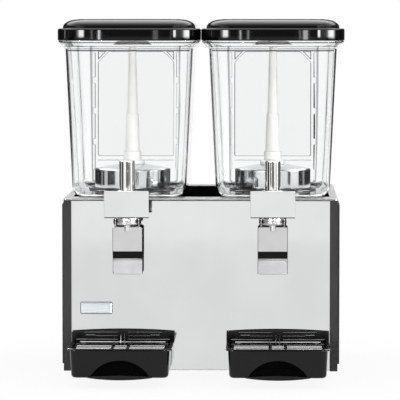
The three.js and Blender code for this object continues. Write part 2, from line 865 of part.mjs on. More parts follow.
const housingHead = 5.6;
const housingHeight = 52.6;
const housingTop = spoutZ + housingHead;
const housingBottom = housingTop - housingHeight;
const housingFloor = 2;
const housingBore = sleeveRadius + fit;
const chamberRadius = 14.2;
const chamberHeight = 10;
const chamberTop = housingBottom + housingFloor + chamberHeight;
const outletRadius = 3.9;
const pivotRise = 3;
const pivotZ = housingBottom + housingFloor + pivotRise;
const shaftRadius = 2.5;
const ductWidth = 14;
const ductBack = 22;
const ductChannelWidth = 8;
const ductChannelBack = 18.5;
const ductWall = 1.8;
const inletRadius = spoutBore - fit;
const inletBore = 3.8;
const inletTip = -2;
const tapY = -tapReach;

function tapHousing() {
  const floorTop = housingBottom + housingFloor;
  const barrel = turned([
    [0, housingBottom], [tapRadius, housingBottom], [tapRadius, housingTop], [0, housingTop],
  ], 0, tapY, tapSteps);
  const ductFace = tapY + ductBack;
  const duct = block(
    [-ductWidth / 2, tapY, housingBottom + housingFloor], [ductWidth / 2, ductFace, housingTop]);
  const shoulder = alongY(
    circleOutline(inletRadius + ductWall, 0, spoutZ - fit), ductFace - overrun, spoutTip - fit, boreSteps);
  const inlet = alongY(
    circleOutline(inletRadius, 0, spoutZ), ductFace - overrun, inletTip, boreSteps);
  const chamber = turned([
    [0, floorTop], [chamberRadius, floorTop], [chamberRadius, chamberTop],
    [housingBore, chamberTop], [housingBore, housingTop + overrun], [0, housingTop + overrun],
  ], 0, tapY, tapSteps);
  const outlet = turned([
    [0, housingBottom - overrun], [outletRadius, housingBottom - overrun],
    [outletRadius, floorTop + overrun], [0, floorTop + overrun],
  ], 0, tapY, smallSteps);
  const channel = block(
    [-ductChannelWidth / 2, tapY + tapRadius, floorTop + housingFloor],
    [ductChannelWidth / 2, tapY + ductChannelBack + ductWall, housingTop - ductWall]);
  const crossing = block(
    [-ductChannelWidth / 2, tapY + chamberRadius - overrun, floorTop + housingFloor],
    [ductChannelWidth / 2, tapY + tapRadius + overrun, chamberTop]);
  const inletHole = alongY(
    circleOutline(inletBore, 0, spoutZ), tapY + ductChannelBack, inletTip + overrun, boreSteps);
  const shaftHole = alongX(
    circleOutline(shaftRadius + fit, tapY, pivotZ), -tapRadius - overrun, tapRadius + overrun, boreSteps);
  return cut(
    join(barrel, duct, shoulder, inlet), chamber, outlet, channel, crossing, inletHole, shaftHole);
}

// Sleeve: the polished tube that closes the housing and covers the plunger's spring

const sleeveHeight = 45.9;
const sleeveTop = housingTop + sleeveHeight;
const sleeveBore = 9.6;
const sleeveCap = 2;
const sleeveRound = 1.2;
const sleeveSpigot = 6;

function tapSleeve() {
  const seat = housingTop + fit;
  return turned([
    [sleeveBore, seat - sleeveSpigot], [sleeveRadius, seat - sleeveSpigot],
    [sleeveRadius, sleeveTop - sleeveRound], [sleeveRadius - sleeveRound, sleeveTop], [0, sleeveTop],
    [0, sleeveTop - sleeveCap], [sleeveBore, sleeveTop - sleeveCap], [sleeveBore, seat - sleeveSpigot],
  ], 0, tapY, tapSteps);
}

// Plunger: closes the outlet with its tip, and is lifted by the shoulder that the cams reach

const plungerTipRadius = 7.5;
const plungerLandLength = 20.2;
const plungerRodRadius = 4;
const springRoom = 18.5;
const plungerRodTop = sleeveTop - sleeveCap - springRoom;
const plungerShoulder = pivotZ + shaftRadius + fit;
const plungerLandTop = plungerShoulder + plungerLandLength;
const ringGroove = 1.2;
const ringGrooveWidth = 2.4;

function tapPlunger() {
  const tip = housingBottom + housingFloor + fit;
  const grooveLow = (plungerShoulder + plungerLandTop) / 2;
  return turned([
    [0, tip], [plungerTipRadius, tip], [plungerTipRadius, plungerShoulder],
    [sleeveRadius, plungerShoulder],
    [sleeveRadius, grooveLow], [sleeveRadius - ringGroove, grooveLow + ringGrooveWidth / 2],
    [sleeveRadius, grooveLow + ringGrooveWidth],
    [sleeveRadius, plungerLandTop], [plungerRodRadius, plungerLandTop],
    [plungerRodRadius, plungerRodTop], [0, plungerRodTop],
  ], 0, tapY, tapSteps);
}

// Nozzle: a steel tube pressed into the housing's floor

const nozzleRadius = 4.7;
const nozzleBore = 2.8;
const nozzleLength = 9.7;
const nozzleTip = housingBottom - nozzleLength;

function nozzle() {
  const seat = housingBottom - fit;
  const spigotTop = housingBottom + housingFloor - fit;
  const spigotRadius = outletRadius - fit;
  return turned([
    [nozzleBore, nozzleTip], [nozzleRadius, nozzleTip], [nozzleRadius, seat], [spigotRadius, seat],
    [spigotRadius, spigotTop], [nozzleBore, spigotTop], [nozzleBore, nozzleTip],
  ], 0, tapY, smallSteps);
}

// Lever: a folded steel pad with two ears that turn on the housing's shafts

const earInner = 17;
const earThickness = 1.6;
const earRadius = 4.6;
const leverSheet = 1.6;
const leverDrop = 4;
const upperPadHeight = 37.5;
const bandHeight = 14.5;
const lowerPadHeight = 21.7;
const upperPadSet = 9;
const lowerPadSet = 17.4;
const leverTop = housingBottom - leverDrop;
const upperPadBottom = leverTop - upperPadHeight;
const bandBottom = upperPadBottom - bandHeight;
const leverBottom = bandBottom - lowerPadHeight;
const upperPadForward = tapReach - upperPadSet;
const lowerPadForward = tapReach - lowerPadSet;
const padCorner = 3;
const hemDepth = 3;

function leverPad() {
  const [front, low] = [-upperPadForward, -lowerPadForward];
  const side = alongX(outline([
    [front, leverTop], [front, upperPadBottom], [low, bandBottom], [low, leverBottom],
    [low + leverSheet, leverBottom], [low + leverSheet, bandBottom],
    [front + leverSheet, upperPadBottom + leverSheet / 3], [front + leverSheet, leverTop - leverSheet],
    [front + leverSheet + hemDepth, leverTop - leverSheet], [front + leverSheet + hemDepth, leverTop],
  ]), -leverWidth / 2, leverWidth / 2);
  const height = leverTop - leverBottom + 2 * padCorner;
  const face = alongY(
    roundedOutline(leverWidth, height, padCorner, 0, leverBottom + height / 2),
    front - overrun, low + leverSheet + overrun);
  return side.intersect(face);
}

function leverEar() {
  const front = -upperPadForward;
  const foot = leverTop - 2 * earRadius;
  const arc = Array.from({ length: camSteps + 1 }, (_, i) => {
    const angle = Math.PI / 2 + Math.PI * (i / camSteps) - leverSwing;
    return [tapY + earRadius * Math.cos(angle), pivotZ + earRadius * Math.sin(angle)];
  });
  return alongX(outline([
    ...arc, [front, foot], [front + leverSheet, foot], [front + leverSheet, leverTop],
  ]), earInner, earInner + earThickness);
}

function lever() {
  const ear = leverEar();
  const hole = alongX(
    circleOutline(shaftRadius + fit, tapY, pivotZ), -leverWidth, leverWidth, boreSteps);
  return cut(join(leverPad(), ear, mirrored(ear)), hole);
}

// Lever shafts: one each side, with a head outside the ear and a cam inside the chamber

const camReach = 6.5;
const camRise = 0.7;
const camTipRadius = 1.8;
const camInner = 8.2;
const camWidth = 2.4;
const headRadius = 3.1;
const headThickness = 2.1;

// The side is 1 for the shaft on the right of the tap and -1 for the one on its left
function leverShaft(side) {
  const headInner = earInner + earThickness + fit;
  const rod = alongX(circleOutline(shaftRadius, tapY, pivotZ), camInner, headInner + sink, boreSteps);
  const head = alongX(
    circleOutline(headRadius, tapY, pivotZ), headInner, headInner + headThickness, boreSteps);
  const tangent = Math.atan2(camRise, camReach);
  const arc = (middle, radius, y, z, steps) => Array.from({ length: steps + 1 }, (_, i) => {
    const angle = middle - Math.PI / 2 + Math.PI * (i / steps);
    return [y + radius * Math.cos(angle), z + radius * Math.sin(angle)];
  });
  const cam = alongX(outline([
    ...arc(tangent, camTipRadius, tapY + camReach, pivotZ + camRise, camSteps),
    ...arc(tangent + Math.PI, shaftRadius, tapY, pivotZ, camSteps),
  ]), camInner, camInner + camWidth);
  const shaft = join(rod, head, cam);
  return side > 0 ? shaft : mirrored(shaft);
}

// Tap cover: a folded steel front with two cheeks back to the panel

const coverPlateWidth = 68.3;
const coverPlateTop = 15;
const coverPlateBottom = -26.2;
const coverStand = 26;
const coverReach = tapReach + coverStand;
const coverCorner = 2.5;
const cheekTop = -4.4;
const cheekBottom = -18;
const cheekFoot = 6;
const cheekBend = 8;

function tapCover() {
  const half = coverPlateWidth / 2;
  const height = coverPlateTop - coverPlateBottom;
  const plate = alongY(
    roundedOutline(coverPlateWidth, height, coverCorner, 0, coverPlateBottom + height / 2),
    -coverReach, -coverReach + sheet);
  const cheek = alongX(outline([
    [-coverReach + sheet / 2, cheekTop], [-coverReach + sheet / 2, cheekBottom],
    [-fit - cheekBend, cheekBottom], [-fit, cheekBottom + cheekBend], [-fit, cheekTop],
  ]), half - sheet, half);
  const footing = block(
    [half - sheet - cheekFoot, -fit - sheet, cheekBottom + cheekBend], [half, -fit, cheekTop]);
  return join(plate, cheek, footing, mirrored(cheek), mirrored(footing));
}

// Drip tray: a moulded tub with a rolled rim, a raised back, hooks, and an arched finger scoop
// below a lip that swells forward

const trayTaper = 2;
const trayCorner = 10;
const trayFillet = 5;
const trayWall = 2.2;
const trayRimOver = 3.75;
const trayRimThick = 3;
const trayBackGap = 8.4;
const splashRise = 14;
const splashArch = 3;
const scoopWidth = 93;
const scoopHeight = 27;
const scoopDepth = 8;
const scoopRibs = 4;
const ribProud = 1.2;
const lipProud = 4;
const lipDrop = 2.6;
const lipTall = 6;
const hookWidth = 22;
const hookOffset = 44;
const hangerAboveRim = 6;
const hangerDrop = trayRimDrop - hangerAboveRim;
const hangerThick = 3;
const hangerHeight = 8;
const hangerStand = 3;

const trayTop = -trayRimDrop;
const trayBottom = trayTop - trayHeight;
const trayDepth = trayReach - trayBackGap;
const trayMiddle = -trayBackGap - trayDepth / 2;

function trayLevels(inset, low, high, fillet) {
  const level = (z, drawn) => {
    const taper = trayTaper * (trayTop - z) / trayHeight;
    const shrink = 2 * (drawn + taper);
    return [trayWidth - shrink, trayDepth - shrink, Math.max(trayCorner - drawn, fit), z];
  };
  const rounds = quarter(2).map((angle) => level(
    low + fillet * (1 - Math.sin(angle)), inset + fillet * (1 - Math.cos(angle)))).reverse();
  return [...rounds, level(high, inset)];
}

// An arc over a chord that lies at the given v, with its crown the rise away: up, or down if negative
function archOver(chord, rise, v) {
  const [half, height] = [chord / 2, Math.abs(rise)];
  const radius = (half ** 2 + height ** 2) / (2 * height);
  const reach = Math.asin(half / radius);
  const up = Math.sign(rise);
  return Array.from({ length: archSteps + 1 }, (_, i) => {
    const angle = up * (Math.PI / 2 - reach + 2 * reach * (i / archSteps));
    return [up * radius * Math.cos(angle), v + up * (height - radius) + radius * Math.sin(angle)];
  });
}

// The scoop's arch, made wider and taller by the given amount
function scoopArch(grown) {
  return outline(archOver(scoopWidth + 2 * grown, scoopHeight + grown, trayBottom));
}

// Half the scoop's width at a height above the tray's underside
function scoopHalfAt(height) {
  const radius = ((scoopWidth / 2) ** 2 + scoopHeight ** 2) / (2 * scoopHeight);
  return Math.sqrt(radius ** 2 - (radius - scoopHeight + height) ** 2);
}

function scoopLip() {
  const front = -trayReach;
  const back = front + trayTaper + scoopDepth;
  const plan = alongZ(outline([
    ...archOver(scoopWidth, -lipProud, front), [scoopWidth / 2, back], [-scoopWidth / 2, back],
  ]), trayBottom - 2 * lipDrop, trayBottom + lipTall);
  const face = alongY(outline([
    ...archOver(scoopWidth, -lipDrop, trayBottom), [scoopWidth / 2, trayBottom + trayWall],
    [0, trayBottom + lipTall], [-scoopWidth / 2, trayBottom + trayWall],
  ]), front - 2 * lipProud, back);
  return plan.intersect(face);
}

function splashBack() {
  const back = -trayBackGap - trayTaper / 2;
  const half = trayWidth / 2 + trayRimOver;
  const low = trayTop - trayRimThick;
  return alongY(outline([
    ...archOver(2 * half, splashArch, trayTop + splashRise), [-half, low], [half, low],
  ]), back - trayWall, back);
}

// The hooks reach back over the hanger's bar and down behind it
function trayHook(side) {
  const back = -trayBackGap - trayTaper / 2 - trayWall / 2;
  const barTop = -hangerDrop + fit;
  const gapBack = -hangerStand + fit;
  const x = side * hookOffset;
  return alongX(outline([
    [back, barTop], [gapBack, barTop], [gapBack, barTop - hangerHeight / 2],
    [-fit, barTop - hangerHeight / 2], [-fit, barTop + trayWall], [back, barTop + trayWall],
  ]), x - hookWidth / 2, x + hookWidth / 2);
}

function dripTray() {
  const outside = lofted(trayLevels(0, trayBottom, trayTop, trayFillet), trayMiddle);
  const inside = lofted(
    trayLevels(trayWall, trayBottom + trayWall, trayTop + overrun, trayFillet - trayWall), trayMiddle);
  const rimOuter = roundedOutline(
    trayWidth + 2 * trayRimOver, trayDepth + trayRimOver, trayCorner + trayRimOver, 0,
    trayMiddle - trayRimOver / 2);
  const rim = cut(
    alongZ(rimOuter, trayTop - trayRimThick, trayTop),
    lofted(trayLevels(trayWall / 2, trayBottom, trayTop + overrun, trayFillet), trayMiddle));
  const front = -trayReach;
  const pocketBack = front + trayTaper + scoopDepth;
  const pocketWall = alongY(scoopArch(trayWall), front + trayTaper, pocketBack + trayWall)
    .intersect(outside);
  const pocket = alongY(scoopArch(0), front - overrun, pocketBack).subtract(block(
    [-scoopWidth, front - overrun, trayBottom - overrun], [scoopWidth, pocketBack, trayBottom + trayWall]));
  const ribs = [];
  for (let i = 1; i <= scoopRibs; i += 1) {
    const height = lipTall + i * (scoopHeight - lipTall) / (scoopRibs + 1);
    const [half, z] = [scoopHalfAt(height) - ribProud, trayBottom + height];
    ribs.push(block(
      [-half, pocketBack - ribProud, z - ribProud / 2], [half, pocketBack + trayWall / 2, z + ribProud / 2]));
  }
  const tub = cut(join(cut(outside, inside), rim, pocketWall), pocket);
  return join(tub, ...ribs, scoopLip(), splashBack(), trayHook(-1), trayHook(1));
}

// Drip grid: a moulded grate that lies in the tray's mouth, with a spine down its middle

const gridFit = 0.5;
const gridThick = 3;
const gridTopDrop = 1;
const gridBorder = 6;
const spineWidth = 30;
const slotRows = 5;
const slotWidth = 5;
const slotPitch = 10;
const slotFront = 9;
const shortSlotLength = 10;
const shortSlotRows = 3;
const rearWindowDepth = 24;
const rearWindowMargin = 8;
const gridLegRadius = 4;

const gridWidth = trayWidth - 2 * trayWall - 2 * gridFit - trayTaper;
const gridDepth = trayDepth - 2 * trayWall - 2 * gridFit - trayTaper;
const gridTop = trayTop - gridTopDrop;
const gridFront = trayMiddle - gridDepth / 2;

function gridOpening(x, y, width, depth) {
  return block(
    [x - width / 2, y, gridTop - gridThick - overrun], [x + width / 2, y + depth, gridTop + overrun]);
}

function dripGrid() {
  const plate = alongZ(
    roundedOutline(gridWidth, gridDepth, trayCorner - trayWall, 0, trayMiddle), gridTop - gridThick, gridTop);
  const longLength = (gridWidth - spineWidth) / 2 - gridBorder;
  const cuts = [];
  for (const side of [-1, 1]) {
    const x = side * (spineWidth / 2 + longLength / 2);
    for (let row = 0; row < slotRows; row += 1) {
      cuts.push(gridOpening(x, gridFront + slotFront + row * slotPitch, longLength, slotWidth));
    }
    for (let row = 0; row < shortSlotRows; row += 1) {
      cuts.push(gridOpening(
        side * spineWidth / 4, gridFront + slotFront + row * slotPitch, shortSlotLength, slotWidth));
    }
    const windowFront = trayMiddle + gridDepth / 2 - rearWindowMargin - rearWindowDepth;
    cuts.push(gridOpening(x, windowFront, longLength, rearWindowDepth));
  }
  const legs = [];
  for (const [side, end] of [[-1, -1], [-1, 1], [1, -1], [1, 1]]) {
    const x = side * (gridWidth / 2 - 2 * gridBorder);
    const geometry = toGeometry(turned([
      [0, trayBottom + trayWall + fit], [gridLegRadius / 2, trayBottom + trayWall + fit],
      [gridLegRadius, gridTop - gridThick / 2], [0, gridTop - gridThick / 2],
    ], 0, 0, holeSteps));
    geometry.translate(x, trayMiddle + end * (gridDepth / 2 - gridBorder), 0);
    legs.push(solid(geometry));
  }
  return join(cut(plate, ...cuts), ...legs);
}

// Tray hanger: a steel bar on the front panel, held off it by a rib, that the tray's hooks hang on

const hangerWidth = 124;
const hangerRibWidth = 36;

function trayHanger() {
  const top = -hangerDrop;
  const bar = block(
    [-hangerWidth / 2, -hangerStand - hangerThick, top - hangerHeight], [hangerWidth / 2, -hangerStand, top]);
  const rib = block(
    [-hangerRibWidth / 2, -hangerStand - hangerThick / 2, top - hangerHeight],
    [hangerRibWidth / 2, -fit, top]);
  return join(bar, rib);
}

// Compressor: a sealed steel shell on a footed plate

const compressorFromBack = 150;
const compressorY = cabinetDepth - compressorFromBack;
const compressorWidth = 118;
const compressorDepth = 96;
const compressorHeight = 150;
const compressorPlate = 3;
const grommetHeight = 10;
const grommetRadius = 9;

function compressor() {
  const low = panFloor + fit;
  const plateTop = low + grommetHeight + compressorPlate;
  const top = plateTop + compressorHeight;
  const level = (share, z) => [
    compressorWidth * share, compressorDepth * share, compressorDepth * share / 2 - fit, z];
  const bellyShares = [0.72, 0.95, 1, 1, 0.9, 0.5];
  const heightShares = [0, 0.07, 0.15, 0.74, 0.91, 1];
  const geometry = toGeometry(lofted(
    bellyShares.map((share, i) => level(share, plateTop - sink + heightShares[i] * (top - plateTop))), 0));
  geometry.translate(compressorX, compressorY, 0);
  const half = compressorSpread / 2;
  const plate = block(
    [compressorX - half, compressorY - compressorDepth / 2, plateTop - compressorPlate],
    [compressorX + half, compressorY + compressorDepth / 2, plateTop]);
  const grommets = [];
  for (const x of [-1, 1]) {
    for (const y of [-1, 1]) {
      grommets.push(turned([
        [0, low], [grommetRadius, low], [grommetRadius - overrun, plateTop - compressorPlate / 2],
        [0, plateTop - compressorPlate / 2],
      ], compressorX + x * (half - grommetRadius), compressorY + y * (compressorDepth / 2 - grommetRadius),
      holeSteps));
    }
  }
  return join(solid(geometry), plate, ...grommets);
}

// Condenser: upright fins on two headers, in front of the fan

const condenserDepth = 44;
const condenserHeight = 190;
const condenserFromBack = 150;
const condenserFront = cabinetDepth - condenserFromBack;
const finPitch = 16;
const finThickness = 3;
const headerThickness = 8;

function condenser() {
  const low = panFloor + fit;
  const high = low + condenserHeight;
  const [left, right] = [fanX - condenserWidth / 2, fanX + condenserWidth / 2];
  const headers = [low, high - headerThickness].map((z) => block(
    [left, condenserFront, z], [right, condenserFront + condenserDepth, z + headerThickness]));
  const count = Math.floor((condenserWidth - finThickness) / finPitch) + 1;
  const start = (condenserWidth - (count - 1) * finPitch - finThickness) / 2;
  const fins = Array.from({ length: count }, (_, i) => block(
    [left + start + i * finPitch, condenserFront, low + headerThickness / 2],
    [
      left + start + i * finPitch + finThickness, condenserFront + condenserDepth,
      high - headerThickness / 2,
    ]));
  return join(...headers, ...fins);
}

// Fan: a square shroud with a ring and three arms to its motor, and a bladed rotor behind them

const shroudFront = condenserFront + condenserDepth + fit;
const shroudDepth = 60;
const shroudWall = 2.5;
const shroudSize = 170;
const ringClear = 3;
const fanMotorRadius = 24;
const fanMotorLength = 26;
const armWidth = 9;
const rotorHubRadius = 20;
const rotorHubLength = 16;
const rotorBlades = 5;
const rotorBladeThickness = 2;
const rotorPitch = THREE.MathUtils.degToRad(32);
const rotorBladeWidth = 46;
const fanShaftRadius = 3;
const fanShaftLength = 14;

function fanShroud() {
  const back = shroudFront + shroudDepth;
  const half = shroudSize / 2;
  const low = panFloor + fit;
  const wall = alongY(
    roundedOutline(shroudSize, shroudSize, shroudWall * 2, fanX, fanZ), shroudFront, back);
  const hollow = alongY(
    circleOutline(fanRadius + ringClear, fanX, fanZ), shroudFront - overrun, back + overrun, fanSteps);
  const motor = alongY(
    circleOutline(fanMotorRadius, fanX, fanZ), shroudFront, shroudFront + fanMotorLength, holeSteps);
  const arms = Array.from({ length: 3 }, (_, i) => {
    const geometry = toGeometry(block(
      [0, shroudFront, -armWidth / 2], [fanRadius + 2 * ringClear, shroudFront + armWidth, armWidth / 2]));
    geometry.rotateY(2 * Math.PI * i / 3 + Math.PI / 6);
    geometry.translate(fanX, 0, fanZ);
    return solid(geometry);
  });
  const stand = block(
    [fanX - half, shroudFront, low],
    [fanX + half, shroudFront + shroudWall * 2, fanZ - half + shroudWall * 2]);
  const bore = alongY(
    circleOutline(fanShaftRadius + fit, fanX, fanZ), shroudFront + fanMotorLength - fanShaftLength,
    shroudFront + fanMotorLength + overrun, holeSteps);
  return cut(join(cut(wall, hollow), motor, ...arms, stand), bore);
}

function fanRotor() {
  const front = shroudFront + fanMotorLength + fit;
  const middle = front + rotorHubLength / 2;
  const hub = turnedAlongY([
    [0, front - fanShaftLength + 2 * fit], [fanShaftRadius, front - fanShaftLength + 2 * fit],
    [fanShaftRadius, front], [rotorHubRadius, front], [rotorHubRadius, front + rotorHubLength],
    [0, front + rotorHubLength],
  ], 0, 0, smallSteps);
  const blades = Array.from({ length: rotorBlades }, (_, i) => {
    const geometry = toGeometry(block(
      [rotorHubRadius - sink * 2, -rotorBladeThickness / 2, -rotorBladeWidth / 2],
      [fanRadius - ringClear, rotorBladeThickness / 2, rotorBladeWidth / 2]));
    const span = fanRadius - ringClear;
    const places = geometry.attributes.position;
    for (let k = 0; k < places.count; k += 1) {
      const share = places.getX(k) > span / 2 ? 1 : 1 / 3;
      places.setZ(k, places.getZ(k) * share);
    }
    geometry.rotateX(rotorPitch);
    geometry.rotateY(2 * Math.PI * i / rotorBlades);
    geometry.translate(0, middle, 0);
    return solid(geometry);
  });
  return moved(join(hub, ...blades), fanX, 0, fanZ);
}

// Assembly

const lipReach = trayReach + lipProud;
const machine = new THREE.Group();
const middleY = (cabinetDepth + controlReach - lipReach) / 2;
machine.position.set(0, -middleY, footHeight + cabinetHeight);

function place(parent, name, body, finish, x = 0, y = 0, z = 0) {
  const mesh = new THREE.Mesh(toGeometry(body), finish);
  mesh.name = name;
  mesh.position.set(x, y, z);
  parent.add(mesh);
}

function addCabinet() {
  for (const [front, y] of [['front', footInset], ['rear', cabinetDepth - footInset]]) {
    for (const [side, x] of [['left', -1], ['right', 1]]) {
      place(machine, `foot_${front}_${side}`, foot(), rubber, x * (cabinetWidth / 2 - footInset), y);
    }
  }
  place(machine, 'base_pan', basePan(), galvanised);
  place(machine, 'top_frame', topFrame(), stainless);
  place(machine, 'deck', deck(), glossBlack);
  place(machine, 'front_panel', frontPanel(), stainless);
  place(machine, 'side_panel_right', sidePanel(), darkPaint);
  place(machine, 'side_panel_left', mirrored(sidePanel()), darkPaint);
  place(machine, 'back_panel', backPanel(), galvanised);
  place(machine, 'badge_plate', badgePlate(), badgeFinish, badgeX, 0, badgeZ);
}

function addControls() {
  place(machine, 'thermostat_knob', thermostatKnob(), satinBlack);
  rockerX.forEach((x, i) => place(machine, `rocker_switch_${i + 1}`, rocker(), glossBlack, x));
  place(machine, 'cord_gland', cordGland(), satinBlack);
}

function addCooling() {
  place(machine, 'compressor', compressor(), blackEnamel);
  place(machine, 'condenser', condenser(), copper);
  place(machine, 'fan_shroud', fanShroud(), satinBlack);
  place(machine, 'fan_rotor', fanRotor(), greyPlastic);
}

function addTankUnit(side, x) {
  const unit = new THREE.Group();
  unit.position.set(x, 0, 0);
  place(unit, `${side}_evaporator_dome`, evaporatorDome(), stainless);
  place(unit, `${side}_dome_seal`, domeSeal(), rubber);
  place(unit, `${side}_spray_tube`, sprayTube(), whitePlastic);
  place(unit, `${side}_impeller`, impeller(), whitePlastic);
  place(unit, `${side}_drive_motor`, driveMotor(), galvanised);
  place(unit, `${side}_drive_magnet`, driveMagnet(), blackEnamel);
  place(unit, `${side}_tank`, tank(), clearPlastic);
  place(unit, `${side}_lid`, lid(), glossBlack);
  place(unit, `${side}_tap_housing`, tapHousing(), polishedSteel);
  place(unit, `${side}_tap_sleeve`, tapSleeve(), polishedSteel);
  place(unit, `${side}_tap_plunger`, tapPlunger(), whitePlastic);
  place(unit, `${side}_nozzle`, nozzle(), polishedSteel);
  place(unit, `${side}_lever`, lever(), stainless);
  place(unit, `${side}_lever_shaft_left`, leverShaft(-1), satinBlack);
  place(unit, `${side}_lever_shaft_right`, leverShaft(1), satinBlack);
  place(unit, `${side}_tap_cover`, tapCover(), stainless);
  machine.add(unit);
}

function addTrayUnit(side, x) {
  const unit = new THREE.Group();
  unit.position.set(x, 0, 0);
  place(unit, `${side}_drip_tray`, dripTray(), satinBlack);
  place(unit, `${side}_drip_grid`, dripGrid(), glossBlack);
  place(unit, `${side}_tray_hanger`, trayHanger(), stainless);
  machine.add(unit);
}

addCabinet();
addControls();
addCooling();
for (const [side, sign] of [['left', -1], ['right', 1]]) {
  addTankUnit(side, sign * tankSpacing / 2);
  addTrayUnit(side, sign * traySpacing / 2);
}

const dispenser = new THREE.Group();
dispenser.add(machine);

export default dispenser;
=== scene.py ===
"""Cold beverage dispenser: the finished surfaces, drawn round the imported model.

Sizes are in millimetres, measured as the maker would: x from a unit's middle, y backwards from the
front panel's face, z up from the cabinet's top. They turn to metres where a mesh is made. Rows of
turned profiles are a radius and a distance along the axis.
"""

import json
import logging
import math
from dataclasses import dataclass
from enum import Enum
from typing import Iterable, Optional, Sequence, Union

import bmesh
import bpy
from mathutils import Matrix, Vector

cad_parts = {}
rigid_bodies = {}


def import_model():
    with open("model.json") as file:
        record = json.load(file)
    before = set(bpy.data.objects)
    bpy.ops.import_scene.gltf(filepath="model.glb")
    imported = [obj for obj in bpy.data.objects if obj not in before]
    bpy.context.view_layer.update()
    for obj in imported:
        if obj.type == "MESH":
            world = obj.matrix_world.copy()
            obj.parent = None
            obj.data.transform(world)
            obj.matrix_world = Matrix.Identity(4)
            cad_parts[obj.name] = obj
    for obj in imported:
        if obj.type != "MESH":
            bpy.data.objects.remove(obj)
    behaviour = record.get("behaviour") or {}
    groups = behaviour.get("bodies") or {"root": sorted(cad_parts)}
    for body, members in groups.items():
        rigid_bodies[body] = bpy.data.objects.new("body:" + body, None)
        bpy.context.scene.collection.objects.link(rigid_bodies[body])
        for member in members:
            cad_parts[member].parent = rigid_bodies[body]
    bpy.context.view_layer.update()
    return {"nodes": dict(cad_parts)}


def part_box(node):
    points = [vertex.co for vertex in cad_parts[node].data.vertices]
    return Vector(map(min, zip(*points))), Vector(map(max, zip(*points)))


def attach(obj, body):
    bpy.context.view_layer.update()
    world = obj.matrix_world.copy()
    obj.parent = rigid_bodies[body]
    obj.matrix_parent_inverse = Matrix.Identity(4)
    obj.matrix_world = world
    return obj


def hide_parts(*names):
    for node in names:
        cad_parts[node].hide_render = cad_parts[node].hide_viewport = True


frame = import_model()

MM = 0.001
MERGE_DISTANCE = 1e-6
SMOOTH_ANGLE = 32
MACHINE = "machine"
# Face attributes of the clear tank that carry painted shade: the raised forms' steps and faces, and dark lines on
# the rim
PAINTED_STEP, PAINTED_FACE, PAINTED_RIM = "step_shade_mark", "face_shade_mark", "rim_shade_mark"
WHITE = (1.0, 1.0, 1.0, 1.0)

log = logging.getLogger("dispenser")

Pair = tuple[float, float]
Triple = tuple[float, float, float]
Table = tuple[Pair, ...]
Obj = bpy.types.Object
Tree = bpy.types.NodeTree
Socket = bpy.types.NodeSocket
Term = Union[Socket, float, Sequence[float]]


class Side(Enum):
    """The two tank units, named as someone at the taps sees them."""

    LEFT = "left"
    RIGHT = "right"

    def node(self, name: str) -> str:
        """The name of this side's node or body."""
        return f"{self.value}_{name}"

    @property
    def sign(self) -> int:
        """Minus one on the left and one on the right."""
        return -1 if self is Side.LEFT else 1

    @property
    def unit_x(self) -> float:
        """The x of this side's tank and tap, in metres."""
        return middle_x(self.node("tap_sleeve"))

    @property
    def tray_x(self) -> float:
        """The x of this side's tray, in metres."""
        return middle_x(self.node("drip_tray"))


class Axis(Enum):
    """The direction a prism is drawn along, with the way its outline's two axes turn into x, y, z."""

    X = "x"
    Y = "y"
    Z = "z"

    def point(self, u: float, v: float, along: float) -> Triple:
        """Places an outline's point at a distance along the axis.

        Args:
            u: The point on the outline's first axis.
            v: The point on its second axis.
            along: The distance along the axis.

        Returns:
            The point as x, y and z.
        """
        if self is Axis.X:
            return (along, u, v)
        if self is Axis.Y:
            return (u, along, v)
        return (u, v, along)


# Places read from the frame

PANEL_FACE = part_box("front_panel")[0].y
CABINET_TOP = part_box("top_frame")[1].z


def local(x: float = 0.0) -> Vector:
    """The point in metres that a piece's millimetres are measured from, for its unit's middle."""
    return Vector((x, PANEL_FACE, CABINET_TOP))


def middle_x(node: str) -> float:
    """The x of the middle of a node's box, in metres."""
    low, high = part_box(node)
    return (low.x + high.x) / 2


# Outlines

def arc(centre: Pair, radius: float, start: float, end: float, steps: int) -> list[Pair]:
    """Points on an arc of a circle.

    Args:
        centre: The circle's middle.
        radius: The circle's radius.
        start: The first point's angle, in degrees.
        end: The last point's angle, in degrees.
        steps: How many chords the arc has.

    Returns:
        The points, one more than there are steps.
    """
    angles = (math.radians(start + (end - start) * i / steps) for i in range(steps + 1))
    return [(centre[0] + radius * math.cos(a), centre[1] + radius * math.sin(a)) for a in angles]


def quarter(steps: int) -> list[Pair]:
    """The cosine and the sine at each step of a quarter turn."""
    return arc((0, 0), 1, 0, 90, steps)


def arch(chord: float, rise: float, v: float, steps: int) -> list[Pair]:
    """An arc over a level chord.

    Args:
        chord: The distance between the arc's ends.
        rise: How far the middle lies above the chord, or below it if negative.
        v: The chord's level.
        steps: How many chords the arc has.

    Returns:
        The points, from the right end to the left end, or left to right if the arc hangs.
    """
    half, height = chord / 2, abs(rise)
    radius = (half**2 + height**2) / (2 * height)
    reach = math.degrees(math.asin(half / radius))
    if rise > 0:
        return arc((0, v + height - radius), radius, 90 - reach, 90 + reach, steps)
    return arc((0, v - height + radius), radius, 270 - reach, 270 + reach, steps)


def rounded(width: float, height: float, radius: float, steps: int = 8, centre: Pair = (0, 0)) -> list[Pair]:
    """A rectangle with round corners, drawn the way a clock doesn't turn.

    Args:
        width: Its size along the first axis.
        height: Its size along the second axis.
        radius: Its corners' radius.
        steps: How many chords each corner has.
        centre: Its middle.

    Returns:
        The outline's points.
    """
    w, h = width / 2 - radius, height / 2 - radius
    corners = [(w, h, 0), (-w, h, 90), (-w, -h, 180), (w, -h, 270)]
    return [
        point
        for u, v, turn in corners
        for point in arc((centre[0] + u, centre[1] + v), radius, turn, turn + 90, steps)
    ]


